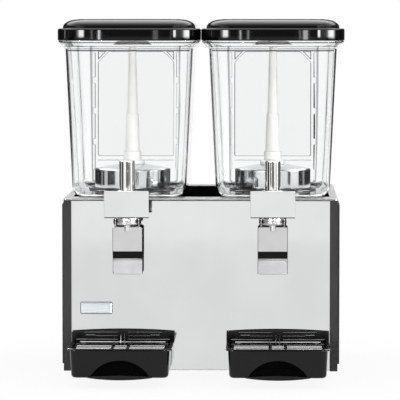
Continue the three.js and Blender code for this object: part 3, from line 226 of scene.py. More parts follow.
def softened(points: Sequence[Pair], radius: float, steps: int = 3) -> list[Pair]:
    """Rounds every corner of a closed outline.

    Args:
        points: The outline's corners.
        radius: How far from a corner its round begins, at most half of the shorter side there.
        steps: How many chords each round has.

    Returns:
        The softened outline's points.
    """
    just_over_half = 2.01
    made: list[Pair] = []
    for i, (u, v) in enumerate(points):
        here = Vector((u, v))
        before = Vector(points[i - 1]) - here
        after = Vector(points[(i + 1) % len(points)]) - here
        reach = min(radius, before.length / just_over_half, after.length / just_over_half)
        start, end = here + before.normalized() * reach, here + after.normalized() * reach
        for k in range(steps + 1):
            t = k / steps
            spot = start * (1 - t) ** 2 + here * 2 * t * (1 - t) + end * t**2
            made.append((spot.x, spot.y))
    return made


def ring(
    width: float, depth: float, corner: float, z: float, middle: float, steps: int = 8,
) -> list[Triple]:
    """A level rectangle with round corners.

    Args:
        width: Its size from left to right.
        depth: Its size from front to back.
        corner: Its corners' radius.
        z: Its level.
        middle: The y of its middle.
        steps: How many chords each corner has.

    Returns:
        The ring's points.
    """
    return [(u, v, z) for u, v in rounded(width, depth, corner, steps, (0, middle))]


# Meshes

def mesh_piece(name: str, points: Iterable[Triple], faces: Iterable[Sequence[int]]) -> Obj:
    """Makes a closed body from points in millimetres, with its faces turned outwards.

    Args:
        name: The object's name.
        points: The mesh's points, from the local datum.
        faces: The faces, as indices of points.

    Returns:
        The new object, with its place in its mesh.
    """
    mesh = bpy.data.meshes.new(name)
    mesh.from_pydata([Vector(p) * MM for p in points], [], [tuple(f) for f in faces])
    work = bmesh.new()
    work.from_mesh(mesh)
    bmesh.ops.remove_doubles(work, verts=work.verts, dist=MERGE_DISTANCE)
    bmesh.ops.recalc_face_normals(work, faces=work.faces)
    work.to_mesh(mesh)
    work.free()
    obj = bpy.data.objects.new(name, mesh)
    bpy.context.scene.collection.objects.link(obj)
    return obj


def loft(name: str, rings: Sequence[Sequence[Triple]], looped: bool = False, capped: bool = True) -> Obj:
    """Skins a stack of rings that have as many points each.

    Args:
        name: The object's name.
        rings: The rings, in order.
        looped: Whether the last ring joins the first.
        capped: Whether the end rings are closed with a face.

    Returns:
        The new body.
    """
    count = len(rings[0])
    spans = len(rings) if looped else len(rings) - 1
    faces: list[Sequence[int]] = []
    for k in range(spans):
        low, high = k * count, (k + 1) % len(rings) * count
        for i in range(count):
            j = (i + 1) % count
            faces.append((low + i, low + j, high + j, high + i))
    if capped and not looped:
        faces.append(tuple(range(count)))
        faces.append(tuple(range((len(rings) - 1) * count, len(rings) * count)))
    return mesh_piece(name, [p for ring in rings for p in ring], faces)


def stacked(
    name: str, size: Pair, corner: float, middle: float, levels: Iterable[Pair], steps: int = 8,
    least: float = 0,
) -> Obj:
    """A body of level rings with round corners.

    Args:
        name: The object's name.
        size: The plan's size from left to right and from front to back.
        corner: The radius of its corners.
        middle: The y of its middle.
        levels: How far each ring is drawn in from the plan, with its height.
        steps: How many chords each corner has.
        least: The least radius of a corner.

    Returns:
        The new body.
    """
    return loft(name, [
        ring(size[0] - 2 * d, size[1] - 2 * d, max(corner - d, least), z, middle, steps) for d, z in levels])


def lathe(
    name: str, profile: Sequence[Pair], axis: Axis = Axis.Z, centre: Pair = (0, 0), steps: int = 64,
) -> Obj:
    """Turns a profile of radius and distance along an axis.

    Args:
        name: The object's name.
        profile: Points that start and end on the axis, or the closed outline of a ring.
        axis: The direction of the axis.
        centre: Where the axis crosses the plane of the outline's two axes.
        steps: How many chords the turn has.

    Returns:
        The new body.
    """
    turns = [2 * math.pi * i / steps for i in range(steps)]
    rings = [
        [axis.point(centre[0] + r * math.cos(a), centre[1] + r * math.sin(a), along) for a in turns]
        for r, along in profile
    ]
    return loft(name, rings, looped=profile[0][0] != 0, capped=False)


def turned(
    name: str, rows: Sequence[Pair], axis: Axis = Axis.Z, centre: Pair = (0, 0), steps: int = 64,
) -> Obj:
    """Turns a solid body: as lathe, with flat ends from the first and the last row to the axis."""
    return lathe(name, [(0, rows[0][1]), *rows, (0, rows[-1][1])], axis, centre, steps)


def prism(name: str, outline: Sequence[Pair], axis: Axis, start: float, end: float) -> Obj:
    """Draws an outline along an axis, from one place on it to another."""
    return loft(name, [[axis.point(u, v, along) for u, v in outline] for along in (start, end)])


def block(name: str, low: Triple, high: Triple) -> Obj:
    """A box between two corners."""
    outline = [(low[0], low[1]), (high[0], low[1]), (high[0], high[1]), (low[0], high[1])]
    return prism(name, outline, Axis.Z, low[2], high[2])


def combined(operation: str, target: Obj, others: Sequence[Obj]) -> Obj:
    """Joins others to a body or cuts them from it, and removes them.

    Args:
        operation: UNION, DIFFERENCE or INTERSECT.
        target: The body that stays.
        others: The bodies that are used up.

    Returns:
        The body that stays, with its new mesh.
    """
    for other in others:
        modifier = target.modifiers.new(operation.lower(), "BOOLEAN")
        modifier.operation = operation
        modifier.solver = "EXACT"
        modifier.object = other
        graph = bpy.context.evaluated_depsgraph_get()
        graph.update()
        old = target.data
        target.data = bpy.data.meshes.new_from_object(target.evaluated_get(graph))
        target.modifiers.clear()
        bpy.data.meshes.remove(old)
        bpy.data.objects.remove(other)
    return target


def joined(target: Obj, *others: Obj) -> Obj:
    """One body of several that touch."""
    return combined("UNION", target, others)


def cut(target: Obj, *others: Obj) -> Obj:
    """A body with others taken out of it."""
    return combined("DIFFERENCE", target, others)


def gathered(target: Obj, *others: Obj) -> Obj:
    """One object of several bodies that stay apart.

    Args:
        target: The object that stays.
        *others: The objects that are used up.

    Returns:
        The object that stays.
    """
    work = bmesh.new()
    for obj in (target, *others):
        work.from_mesh(obj.data)
    work.to_mesh(target.data)
    work.free()
    for obj in others:
        bpy.data.objects.remove(obj)
    return target


def bevelled(obj: Obj, width: float, steps: int = 2, angle: float = SMOOTH_ANGLE) -> Obj:
    """Breaks a body's sharp edges.

    Args:
        obj: The body.
        width: The bevel's width.
        steps: How many faces the bevel has.
        angle: The least angle, in degrees, of an edge that is broken.

    Returns:
        The same body.
    """
    modifier = obj.modifiers.new("edge_break", "BEVEL")
    modifier.width = width * MM
    modifier.segments = steps
    modifier.limit_method = "ANGLE"
    modifier.angle_limit = math.radians(angle)
    modifier.use_clamp_overlap = True
    modifier.harden_normals = False
    return obj


def smoothed(obj: Obj) -> None:
    """Shades a mesh smooth, with its sharp edges left sharp and its large faces left flat.

    Args:
        obj: The body.
    """
    obj.data.shade_smooth()
    obj.data.set_sharp_from_angle(angle=math.radians(SMOOTH_ANGLE))
    modifier = obj.modifiers.new("flat_faces", "WEIGHTED_NORMAL")
    modifier.keep_sharp = True
    modifier.weight = 100


# Materials

def linear(code: str) -> tuple[float, float, float, float]:
    """An sRGB hex colour as a linear one.

    Args:
        code: The colour, such as #1f1f20.

    Returns:
        Red, green, blue and full opacity.
    """
    parts = [int(code[i:i + 2], 16) / 255 for i in (1, 3, 5)]
    red, green, blue = (c / 12.92 if c <= 0.04045 else ((c + 0.055) / 1.055) ** 2.4 for c in parts)
    return (red, green, blue, 1.0)


def add_node(tree: Tree, kind: str, inputs: Optional[dict] = None, **settings: object) -> bpy.types.Node:
    """Adds a node with its settings and its inputs.

    Args:
        tree: The node tree.
        kind: The node's type.
        inputs: Inputs' names or numbers, each with its value or the socket that feeds it.
        **settings: The node's own properties.

    Returns:
        The new node.
    """
    node = tree.nodes.new(kind)
    for key, value in settings.items():
        setattr(node, key, value)
    for key, value in (inputs or {}).items():
        if isinstance(value, Socket):
            tree.links.new(value, node.inputs[key])
        else:
            node.inputs[key].default_value = value
    return node


def reckoned(tree: Tree, operation: str, *terms: Term) -> Socket:
    """The result of a sum on numbers."""
    return add_node(tree, "ShaderNodeMath", dict(enumerate(terms)), operation=operation).outputs[0]


def mapped(
    tree: Tree, value: Socket, start: float, end: float, low: float = 0.0, high: float = 1.0, **settings: str,
) -> Socket:
    """A value that goes from low to high while another goes from start to end."""
    inputs = {"Value": value, "From Min": start, "From Max": end, "To Min": low, "To Max": high}
    return add_node(tree, "ShaderNodeMapRange", inputs, **settings).outputs["Result"]


def mixed(tree: Tree, share: Socket, first: Term, second: Term) -> Socket:
    """A mix of two colours, with the second's share."""
    inputs = {"Factor": share, "A": first, "B": second}
    return add_node(tree, "ShaderNodeMix", inputs, data_type="RGBA").outputs["Result"]


@dataclass(frozen=True)
class Grain:
    """A surface's fine pattern: its cells' size and depth, and how far they are drawn out."""

    size: float
    depth: float
    stretch: Triple = (1.0, 1.0, 1.0)


@dataclass(frozen=True)
class Mottle:
    """A slow change of shade: its cells' size, its other colour and that colour's greatest share."""

    size: float
    shade: str
    share: float


@dataclass(frozen=True)
class Finish:
    """A surface: what it is made of, how it was made, and the pattern that gives it."""

    name: str
    colour: str
    roughness: float
    grain: Grain
    mottle: Optional[Mottle] = None
    metallic: float = 0.0
    ior: float = 1.5
    spread: float = 0.03
    specular: float = 0.5

    def build(self) -> bpy.types.Material:
        """Makes the material, once for each finish.

        Returns:
            The material, new or made before.
        """
        made = bpy.data.materials.get(self.name)
        if made:
            return made
        made = bpy.data.materials.new(self.name)
        made.use_nodes = True
        made.diffuse_color = linear(self.colour)
        shader = made.node_tree.nodes["Principled BSDF"]
        values = {
            "Base Color": linear(self.colour), "Metallic": self.metallic, "Roughness": self.roughness,
            "IOR": self.ior, "Specular IOR Level": self.specular}
        for name, value in values.items():
            shader.inputs[name].default_value = value
        self.pattern(made.node_tree, shader)
        return made

    def noise(self, tree: Tree, size: float, stretch: Triple, detail: float = 3.0) -> Socket:
        """A noise whose cells are a real size.

        Args:
            tree: The material's node tree.
            size: The cells' size.
            stretch: How much longer the cells are along x, y and z.
            detail: How many finer layers it has.

        Returns:
            The noise.
        """
        place = add_node(tree, "ShaderNodeTexCoord").outputs["Object"]
        scale = tuple(1 / (size * MM * s) for s in stretch)
        spot = add_node(tree, "ShaderNodeMapping", {"Scale": scale, "Vector": place}).outputs["Vector"]
        inputs = {"Scale": 1.0, "Detail": detail, "Roughness": 0.55, "Vector": spot}
        return add_node(tree, "ShaderNodeTexNoise", inputs).outputs["Fac"]

    def grained(self, tree: Tree, shader: bpy.types.Node) -> Socket:
        """Gives the shader the grain's relief.

        Args:
            tree: The material's node tree.
            shader: Its Principled BSDF.

        Returns:
            The grain.
        """
        fine = self.noise(tree, self.grain.size, self.grain.stretch)
        inputs = {"Strength": 1.0, "Distance": self.grain.depth * MM, "Height": fine}
        tree.links.new(add_node(tree, "ShaderNodeBump", inputs).outputs["Normal"], shader.inputs["Normal"])
        return fine

    def pattern(self, tree: Tree, shader: bpy.types.Node) -> None:
        """Adds the fine grain, the uneven gloss and the slow change of shade.

        Args:
            tree: The material's node tree.
            shader: Its Principled BSDF.
        """
        fine = self.grained(tree, shader)
        low, high = max(self.roughness - self.spread, 0.02), min(self.roughness + self.spread, 1.0)
        tree.links.new(mapped(tree, fine, 0.0, 1.0, low, high), shader.inputs["Roughness"])
        if self.mottle:
            slow = self.noise(tree, self.mottle.size, (1.0, 1.0, 1.0), 2.0)
            share = mapped(tree, slow, 0.35, 0.65, 0.0, self.mottle.share)
            shade = mixed(tree, share, linear(self.colour), linear(self.mottle.shade))
            tree.links.new(shade, shader.inputs["Base Color"])


@dataclass(frozen=True)
class ClearMoulding(Finish):
    """Clear polycarbonate: light goes through and bends, and the marked faces carry painted shade."""

    # Painted shade for the marked faces: grey on the raised forms' steps, a faint grey on their faces, near black
    # on the rim's lines
    step_painted_shade: str = "#7f8486"
    face_painted_shade: str = "#f0f1f1"
    rim_painted_shade: str = "#16191a"
    edge_tint: float = 0.25

    def pattern(self, tree: Tree, shader: bpy.types.Node) -> None:
        """Adds transmission, the flow ripple and the painted shade on the raised forms and on the rim's lines.

        Args:
            tree: The material's node tree.
            shader: Its Principled BSDF.
        """
        shader.inputs["Transmission Weight"].default_value = 1.0
        shader.inputs["Specular Tint"].default_value = (self.edge_tint, self.edge_tint, self.edge_tint, 1.0)
        self.grained(tree, shader)
        shade: Term = linear(self.colour)
        # Painted shade: each marked face's colour is mixed towards its shade, so the raised forms and the rim's
        # lines show dark
        marks = ((PAINTED_FACE, self.face_painted_shade), (PAINTED_STEP, self.step_painted_shade), (PAINTED_RIM, self.rim_painted_shade))
        for name, painted_shade in marks:
            place = add_node(tree, "ShaderNodeAttribute", attribute_name=name)
            shade = mixed(tree, place.outputs["Fac"], shade, linear(painted_shade))
        tree.links.new(shade, shader.inputs["Base Color"])


# Mirror-bright stainless sheet, cold rolled and buffed: long faint rolling lines along the sheet
PANEL_STEEL = Finish(
    "stainless_sheet_buffed", "#dcdddd", 0.055, Grain(2.0, 0.0004, (60.0, 8.0, 1.0)),
    Mottle(90.0, "#d2d3d3", 0.5), metallic=1.0, spread=0.012)
# Stainless pressings with a satin grain: softer reflections than the front panel's
SATIN_STEEL = Finish(
    "stainless_pressing_satin", "#dcdcda", 0.2, Grain(0.6, 0.0012, (30.0, 30.0, 1.0)),
    Mottle(60.0, "#cdcdcb", 0.4), metallic=1.0, spread=0.04)
# The levers' sheet, a little duller and with a darker colour that is painted shade: it sets them off from the front
# panel
SHADED_LEVER_STEEL = Finish(
    "stainless_sheet_lever_shaded", "#cfcfd0", 0.16, Grain(1.0, 0.0006, (40.0, 8.0, 1.0)),
    Mottle(40.0, "#c7c7c8", 0.5), metallic=1.0)
# The same sheet brushed where the cups press, rougher, with a darker colour that is painted shade: its cross grain
# takes up the dark of the room
BRUSHED_SHADED_STEEL = Finish(
    "stainless_sheet_brushed_shaded", "#b3b3b4", 0.34, Grain(0.5, 0.0015, (1.0, 1.0, 40.0)),
    Mottle(18.0, "#a6a6a7", 0.7), metallic=1.0, spread=0.05)
# Deep-drawn stainless cup, polished: sharp upright reflections, with faint draw lines up its side
DRAWN_STEEL = Finish(
    "stainless_deep_drawn", "#d6d8d9", 0.05, Grain(1.6, 0.0006, (1.0, 1.0, 40.0)),
    Mottle(30.0, "#c4c6c8", 0.3), metallic=1.0, spread=0.01)
# Polished stainless tube: nearly a mirror
TUBE_STEEL = Finish(
    "stainless_tube_polished", "#e4e4e2", 0.05, Grain(0.5, 0.0003, (1.0, 1.0, 50.0)), metallic=1.0, spread=0.01)
# Powder coat on steel, oven cured: a fine orange peel that breaks up the gloss
POWDER_COAT = Finish(
    "powder_coat_dark_grey", "#1f1f20", 0.5, Grain(0.7, 0.03), Mottle(45.0, "#19191a", 0.5), ior=1.4, spread=0.06)
# Black ABS from a polished mould: deep gloss, and a faint sink pattern that bends highlights
GLOSS_ABS = Finish(
    "abs_gloss_black", "#020202", 0.02, Grain(30.0, 0.0012), Mottle(50.0, "#050505", 0.5), ior=1.3, spread=0.0)
# The same plastic from a stippled mould, for the deck: it takes up the light between the tanks
MATT_ABS = Finish(
    "abs_stippled_black", "#070707", 0.6, Grain(0.5, 0.01), Mottle(40.0, "#0a0a0a", 0.5), ior=1.3,
    spread=0.05, specular=0.0)
# Black polypropylene, moulded: a soft gloss that keeps highlights along the trays' edges
TRAY_PP = Finish(
    "polypropylene_black", "#050506", 0.12, Grain(3.0, 0.004), Mottle(35.0, "#09090a", 0.5), ior=1.33, spread=0.04)
# The same polished ABS on the grids: its full gloss, so that every bar's round edge catches the light
GRID_ABS = Finish(
    "abs_gloss_grid", "#060606", 0.08, Grain(4.0, 0.002), Mottle(30.0, "#0a0a0a", 0.5), ior=1.58, spread=0.02)
# Black ABS from a fine-spark mould: satin, for the knob and small fittings
SATIN_ABS = Finish(
    "abs_satin_black", "#141415", 0.24, Grain(0.35, 0.006), Mottle(35.0, "#1a1a1b", 0.5), ior=1.45, spread=0.05)
# Black lacquer sprayed thin on steel: dead flat, it takes up what light falls on it; the same flat black is painted
# shade on the sheet behind each lever and on the strip along each cover's foot
FLAT_BLACK = Finish("flat_black_lacquer_and_shade", "#0b0b0c", 0.75, Grain(0.3, 0.01), ior=1.25, spread=0.05)
# Vulcanised rubber, moulded: dull, with a dusty bloom
RUBBER = Finish(
    "rubber_moulded_black", "#1a1a1a", 0.8, Grain(0.4, 0.02), Mottle(12.0, "#272726", 0.6), ior=1.52, spread=0.08)
# Food-grade polypropylene, injection moulded white: soft gloss with a little unevenness
WHITE_PP = Finish(
    "polypropylene_white", "#e4e4e2", 0.32, Grain(1.2, 0.004), Mottle(25.0, "#dcdcd9", 0.5), ior=1.49, spread=0.05)
# Light grey acetal, moulded: the fan
GREY_POM = Finish(
    "acetal_light_grey", "#c6c8c9", 0.3, Grain(0.9, 0.005), Mottle(14.0, "#bcbec0", 0.5), ior=1.48, spread=0.05)
# Hot-dip galvanised sheet: the spangle of zinc crystals, a few millimetres across
ZINC_SHEET = Finish(
    "galvanised_sheet", "#b4b8ba", 0.38, Grain(4.0, 0.004), Mottle(5.0, "#a1a6a9", 0.7), metallic=1.0, spread=0.1)
# Stove enamel on the compressor's pressed shell
BLACK_ENAMEL = Finish(
    "stove_enamel_black", "#1b1c1e", 0.28, Grain(1.5, 0.012), Mottle(30.0, "#232426", 0.5), spread=0.06)
# Aluminium fin stock, rolled thin: bright, with a fine line along the fin
FIN_STOCK = Finish(
    "aluminium_fin_stock", "#cfd2d4", 0.3, Grain(0.4, 0.003, (1.0, 1.0, 30.0)), Mottle(20.0, "#b9bdc0", 0.6),
    metallic=1.0, spread=0.08)
# Sintered ferrite ring magnet: dark grey and granular
FERRITE = Finish(
    "ferrite_sintered", "#3c3d40", 0.55, Grain(0.5, 0.02), Mottle(6.0, "#4a4b4e", 0.6), metallic=0.3, spread=0.08)
# Anodised aluminium plate, satin: a cool pale face
ANODISED = Finish(
    "anodised_plate_satin", "#c3cace", 0.3, Grain(0.25, 0.002, (40.0, 1.0, 1.0)), Mottle(14.0, "#bac2c6", 0.5),
    metallic=0.35, spread=0.05)
# A dark grey plate behind the badge: its edge is a painted shadow line round the pale plate
BADGE_SHADOW_LINE = Finish(
    "badge_shadow_line_dark", "#4b4f52", 0.3, Grain(0.25, 0.002, (40.0, 1.0, 1.0)), metallic=0.6, spread=0.05)
# Clear polycarbonate, injection moulded: glass-clear with the slightest flow ripple
CLEAR_PC = ClearMoulding("polycarbonate_clear", "#fbfcfc", 0.0, Grain(45.0, 0.02), ior=1.36)


# Dressing

def surfaced(obj: Obj, finish: Finish) -> None:
    """Gives an object its one material.

    Args:
        obj: The object.
        finish: Its surface.
    """
    obj.data.materials.clear()
    obj.data.materials.append(finish.build())
    log.info("%s: %d faces, %s", obj.name, len(obj.data.polygons), finish.name)


def dressed(obj: Obj, finish: Finish, body: str, slot: str, *nodes: str, x: float = 0.0) -> None:
    """Finishes a drawn piece and puts it on its body.

    Args:
        obj: The piece, drawn in millimetres from the local datum.
        finish: Its surface.
        body: The body that it rides on.
        slot: The record's material slot; not used.
        *nodes: The nodes that it stands for.
        x: The middle of its unit, in metres.
    """
    obj.data.transform(Matrix.Translation(local(x)))
    smoothed(obj)
    surfaced(obj, finish)
    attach(obj, body)
    if nodes:
        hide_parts(*nodes)


def carried(node: str, finish: Finish, slot: str, edge: float) -> None:
    """Finishes a node whose own shape is shown.

    Args:
        node: The node's name.
        finish: Its surface.
        slot: The record's material slot; not used.
        edge: The width of the bevel that breaks its edges.
    """
    obj = frame["nodes"][node]
    surfaced(obj, finish)
    bevelled(obj, edge)


# Cabinet

@dataclass
class Cabinet:
    """The sheet-metal box: side panels, front and back, top frame, deck, pan and feet."""

    width: float = 424.0
    depth: float = 400.0
    height: float = 268.0
    foot_height: float = 12.0
    sheet: float = 1.5
    sheet_corner: float = 4.0
    top_lip: float = 3.0
    opening_width: float = 400.0
    opening_depth: float = 315.0
    opening_front: float = 41.0
    opening_corner: float = 10.0
    deck_floor: float = -8.0
    deck_top: float = -1.8
    seat_radius: float = 74.0
    seat_hole: float = 60.6
    seat_ledge: float = -2.8
    seat_back: float = 150.0
    seat_steps: int = 72
    unit_spacing: float = 223.0
    foot_inset: float = 45.0
    foot_radius: float = 15.0
    # How far in from the foot's radius, and how far over the ground
    foot_turn: Table = (
        (5, 1.5), (4.4, 0.3), (3.6, 0), (1.5, 0), (0.4, 0.5), (0, 1.7), (0.4, 5), (1.4, 6.2), (1.4, 7), (1.8, 11.7))
    badge_width: float = 50.0
    badge_height: float = 19.0
    badge_corner: float = 2.5
    # How far the badge's plates are drawn in, with their y
    badge_face: Table = ((1.2, -0.9), (1.2, -1.5), (1.6, -1.8), (2.3, -1.8), (2.9, -1.4), (3.6, -1.35))
    badge_back: Table = ((0.0, -0.3), (0.0, -0.8), (0.3, -1.2), (1.1, -1.2))
    # A screw's head, from the panel's face
    screw_turn: Table = ((0, -0.2), (3.8, -0.2), (3.8, 0.5), (3.2, 1.4), (2.0, 1.8), (0, 1.9))
    screw_slot: Pair = (0.45, 2.0)
    screw_slot_floor: float = 0.9

    @property
    def opening_middle(self) -> float:
        """The y of the middle of the top frame's opening."""
        return self.opening_front + self.opening_depth / 2

    def top_frame(self) -> None:
        """The bordered stainless sheet with its large opening."""
        lip, through = self.top_lip, 20
        plate = stacked(
            "top_frame_sheet", (self.width, self.depth), self.sheet_corner, self.depth / 2,
            [(0.4, -lip), (0.0, -lip + 0.4), (0.0, -1.0), (0.3, -0.3), (1.0, 0.0)], 6)
        hole = stacked(
            "hole", (self.opening_width, self.opening_depth), self.opening_corner, self.opening_middle,
            [(0, -through), (0, through)])
        under = block(
            "under", (-self.width / 2 + self.sheet, self.sheet, -through),
            (self.width / 2 - self.sheet, self.depth - self.sheet, -self.sheet))
        cut(plate, under, hole)
        bevelled(plate, 0.35, 2, 50)
        dressed(plate, SATIN_STEEL, MACHINE, "stainless_sheet", "top_frame")

    def deck(self) -> None:
        """The black moulded tub in the opening, with a seat round each dome."""
        low, top, r, ledge = self.deck_floor, self.deck_top, self.seat_radius, self.seat_ledge
        tub = stacked(
            "deck_tub", (self.opening_width, self.opening_depth), self.opening_corner, self.opening_middle,
            [(2.3, low - 2), (0.3, low), (0.3, top - 2), (-6, top - 2), (-6, top - 0.4), (-5.4, top), (1.4, top),
             (2.0, top - 0.6), (2.4, low + 1.2), (3.6, low)])
        for side in Side:
            centre = (side.sign * self.unit_spacing / 2, self.seat_back)
            seat = turned("seat", [
                (r + 2, low - 1), (r + 2, low), (r + 0.7, low + 0.5), (r, low + 1.6), (r, -1.2), (r - 0.9, -0.3)],
                centre=centre, steps=self.seat_steps)
            well = turned("well", [
                (r - 2.5, -20), (r - 2.5, ledge), (self.seat_hole, ledge), (self.seat_hole, 8)],
                centre=centre, steps=self.seat_steps)
            cut(joined(tub, seat), well)
        dressed(tub, MATT_ABS, MACHINE, "black_moulding", "deck")

    def feet(self) -> None:
        """Four turned rubber feet with a hollow below and a step up to the pan."""
        low = -self.height - self.foot_height
        for end, y in (("front", self.foot_inset), ("rear", self.depth - self.foot_inset)):
            for side in Side:
                node = f"foot_{end}_{side.value}"
                x = side.sign * (self.width / 2 - self.foot_inset)
                rows = [(self.foot_radius - d, low + h) for d, h in self.foot_turn]
                foot = turned(f"{node}_moulding", rows, centre=(x, y), steps=48)
                dressed(foot, RUBBER, MACHINE, "foot_rubber", node)

    def badge(self) -> None:
        """The bare plate on the front panel, with its raised and bevelled border, on a dark plate whose edge is a
        painted shadow line round it.
        """
        low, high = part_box("badge_plate")
        middle = (low + high) / 2 - local()
        centre = (middle.x / MM, middle.z / MM)
        # The dark back plate's edge is painted shadow round the pale plate
        plates = (
            ("badge_plate_anodised", self.badge_face, ANODISED, ["badge_plate"]),
            ("badge_shadow_plate", self.badge_back, BADGE_SHADOW_LINE, []))
        width, height, corner = self.badge_width, self.badge_height, self.badge_corner
        for name, levels, finish, nodes in plates:
            outlines = (
                (y, rounded(width - 2 * d, height - 2 * d, max(corner - d, 0.8), 6, centre)) for d, y in levels)
            plate = loft(name, [[(u, y, v) for u, v in outline] for y, outline in outlines])
            dressed(plate, finish, MACHINE, "badge_metal", *nodes)

    def screws(self) -> None:
        """The cross-slotted pan-head screws round the back panel."""
        low, high = ((corner - local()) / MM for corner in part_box("back_panel"))
        face, heads = high.y, []
        rows = ((low.z + 10, (-1, 0, 1)), ((low.z + high.z) / 2, (-1, 1)), (high.z - 12, (-1, 0, 1)))
        for z, columns in rows:
            for column in columns:
                x = column * (high.x - 22)
                head = lathe("screw", [(r, face + y) for r, y in self.screw_turn], Axis.Y, (x, z), 24)
                for u, v in (self.screw_slot, self.screw_slot[::-1]):
                    cut(head, block("slot", (x - u, face + self.screw_slot_floor, z - v), (x + u, face + 3, z + v)))
                heads.append(head)
        screws = gathered(*heads)
        screws.name = "back_panel_screws"
        dressed(screws, DRAWN_STEEL, MACHINE, "polished_steel")

    def build(self) -> None:
        """Makes the cabinet's pieces and finishes the nodes that are shown as they are."""
        self.top_frame()
        self.deck()
        self.feet()
        self.badge()
        carried("front_panel", PANEL_STEEL, "stainless_sheet", 0.5)
        for side in Side:
            carried(f"side_panel_{side.value}", POWDER_COAT, "dark_paint", 0.7)
            carried(side.node("tray_hanger"), SATIN_STEEL, "stainless_sheet", 0.5)
        carried("back_panel", ZINC_SHEET, "zinc_sheet", 0.3)
        carried("base_pan", ZINC_SHEET, "zinc_sheet", 0.4)
        self.screws()


@dataclass
class Machinery:
    """What runs inside the cabinet, and the controls on its back."""

    # Each node's finish, its slot in the record and its bevel
    shared: tuple[tuple[str, Finish, str, float], ...] = (
        ("compressor", BLACK_ENAMEL, "black_enamel", 1.2), ("condenser", FIN_STOCK, "fin_metal", 0.4),
        ("fan_shroud", SATIN_ABS, "satin_black", 0.5), ("fan_rotor", GREY_POM, "grey_plastic", 0.4),
        ("thermostat_knob", SATIN_ABS, "satin_black", 0.6), ("cord_gland", SATIN_ABS, "satin_black", 0.5),
        *((f"rocker_switch_{number}", GLOSS_ABS, "black_moulding", 0.5) for number in (1, 2, 3)))
    doubled: tuple[tuple[str, Finish, str, float], ...] = (
        ("drive_motor", ZINC_SHEET, "zinc_sheet", 0.8), ("drive_magnet", FERRITE, "magnet", 0.8),
        ("impeller", WHITE_PP, "white_plastic", 0.2), ("tap_plunger", WHITE_PP, "white_plastic", 0.3))

    def build(self) -> None:
        """Finishes the machinery and the controls."""
        for row in self.shared:
            carried(*row)
        for side in Side:
            for node, *rest in self.doubled:
                carried(side.node(node), *rest)


# Tank units

@dataclass
class UnitPiece:
    """A sub-assembly of one tank unit, whose nodes and bodies are named without their side."""

    side: Side

    @property
    def x(self) -> float:
        """The x of its middle, in metres."""
        return self.side.unit_x

    def node(self, name: str) -> str:
        """The full name of a node or a body. The machine carries both units."""
        return name if name == MACHINE else self.side.node(name)

    def dress(self, obj: Obj, finish: Finish, body: str, slot: str, *nodes: str) -> None:
        """Dresses a piece as dressed does, at this unit's middle."""
        dressed(obj, finish, self.node(body), slot, *map(self.node, nodes), x=self.x)


@dataclass
class Lid(UnitPiece):
    """The black moulded lid: a brim round the tank's rim, a raised crown, and the dish below it."""

    width: float = 222.0
    depth: float = 314.0
    corner: float = 48.0
    least_corner: float = 5.0
    middle: float = 145.0
    brim_bottom: float = 243.2
    brim_top: float = 261.8
    brim_round: float = 2.4
    crown_inset: float = 8.0
    crown_top: float = 276.6
    crown_reach: float = 88.0
    shoulder: float = 24.0
    spring_height: float = 263.6
    wall: float = 2.0
    dish_back: float = 150.0
    dish_stem: float = 7.6
    dish_turn: Table = (
        (0, 239.4), (10, 239.1), (20, 238.2), (28, 236.5), (30.2, 235.9), (31, 236.2), (30.6, 237), (25, 239),
        (17, 240.9), (11, 242.1), (8.8, 243.3), (8, 246))

    def build(self) -> None:
        """Makes one lid."""
        inset, spring, wall, shoulder = self.crown_inset, self.spring_height, self.wall, self.shoulder
        brim, low, top, reach = self.brim_top, self.brim_bottom, self.crown_top, self.crown_reach
        rise, edge = top - 0.6 - spring, self.brim_round
        inner = [(reach, top - wall), (inset + 30, top - wall - 0.4)]
        inner += [
            (inset + wall + (shoulder - wall) * (1 - c), spring + (rise - wall) * s) for c, s in quarter(9)[::-1]]
        inner += [(inset + wall, brim - wall), (wall, brim - wall), (wall, low)]
        outer = [(0.8, low), (0.2, low + 0.4), (0, low + 1.2)]
        outer += [(edge * (1 - c), brim - edge * (1 - s)) for c, s in quarter(5)]
        outer += [(inset - 1.3, brim), (inset - 0.5, brim + 0.3), (inset, brim + 1.2)]
        outer += [(inset + shoulder * (1 - c), spring + rise * s) for c, s in quarter(10)]
        outer += [(inset + 24, top - 0.35), (inset + 38, top - 0.1), (reach, top)]
        cover = stacked(
            self.node("lid_moulding"), (self.width, self.depth), self.corner, self.middle, inner + outer, 20,
            self.least_corner)
        stem = [(self.dish_stem, top - 1), (0, top - 1)]
        dish = lathe(self.node("lid_spray_dish"), [*self.dish_turn, *stem], centre=(0, self.dish_back))
        self.dress(dish, WHITE_PP, "lid", "white_plastic")
        self.dress(cover, GLOSS_ABS, "lid", "black_moulding", "lid")


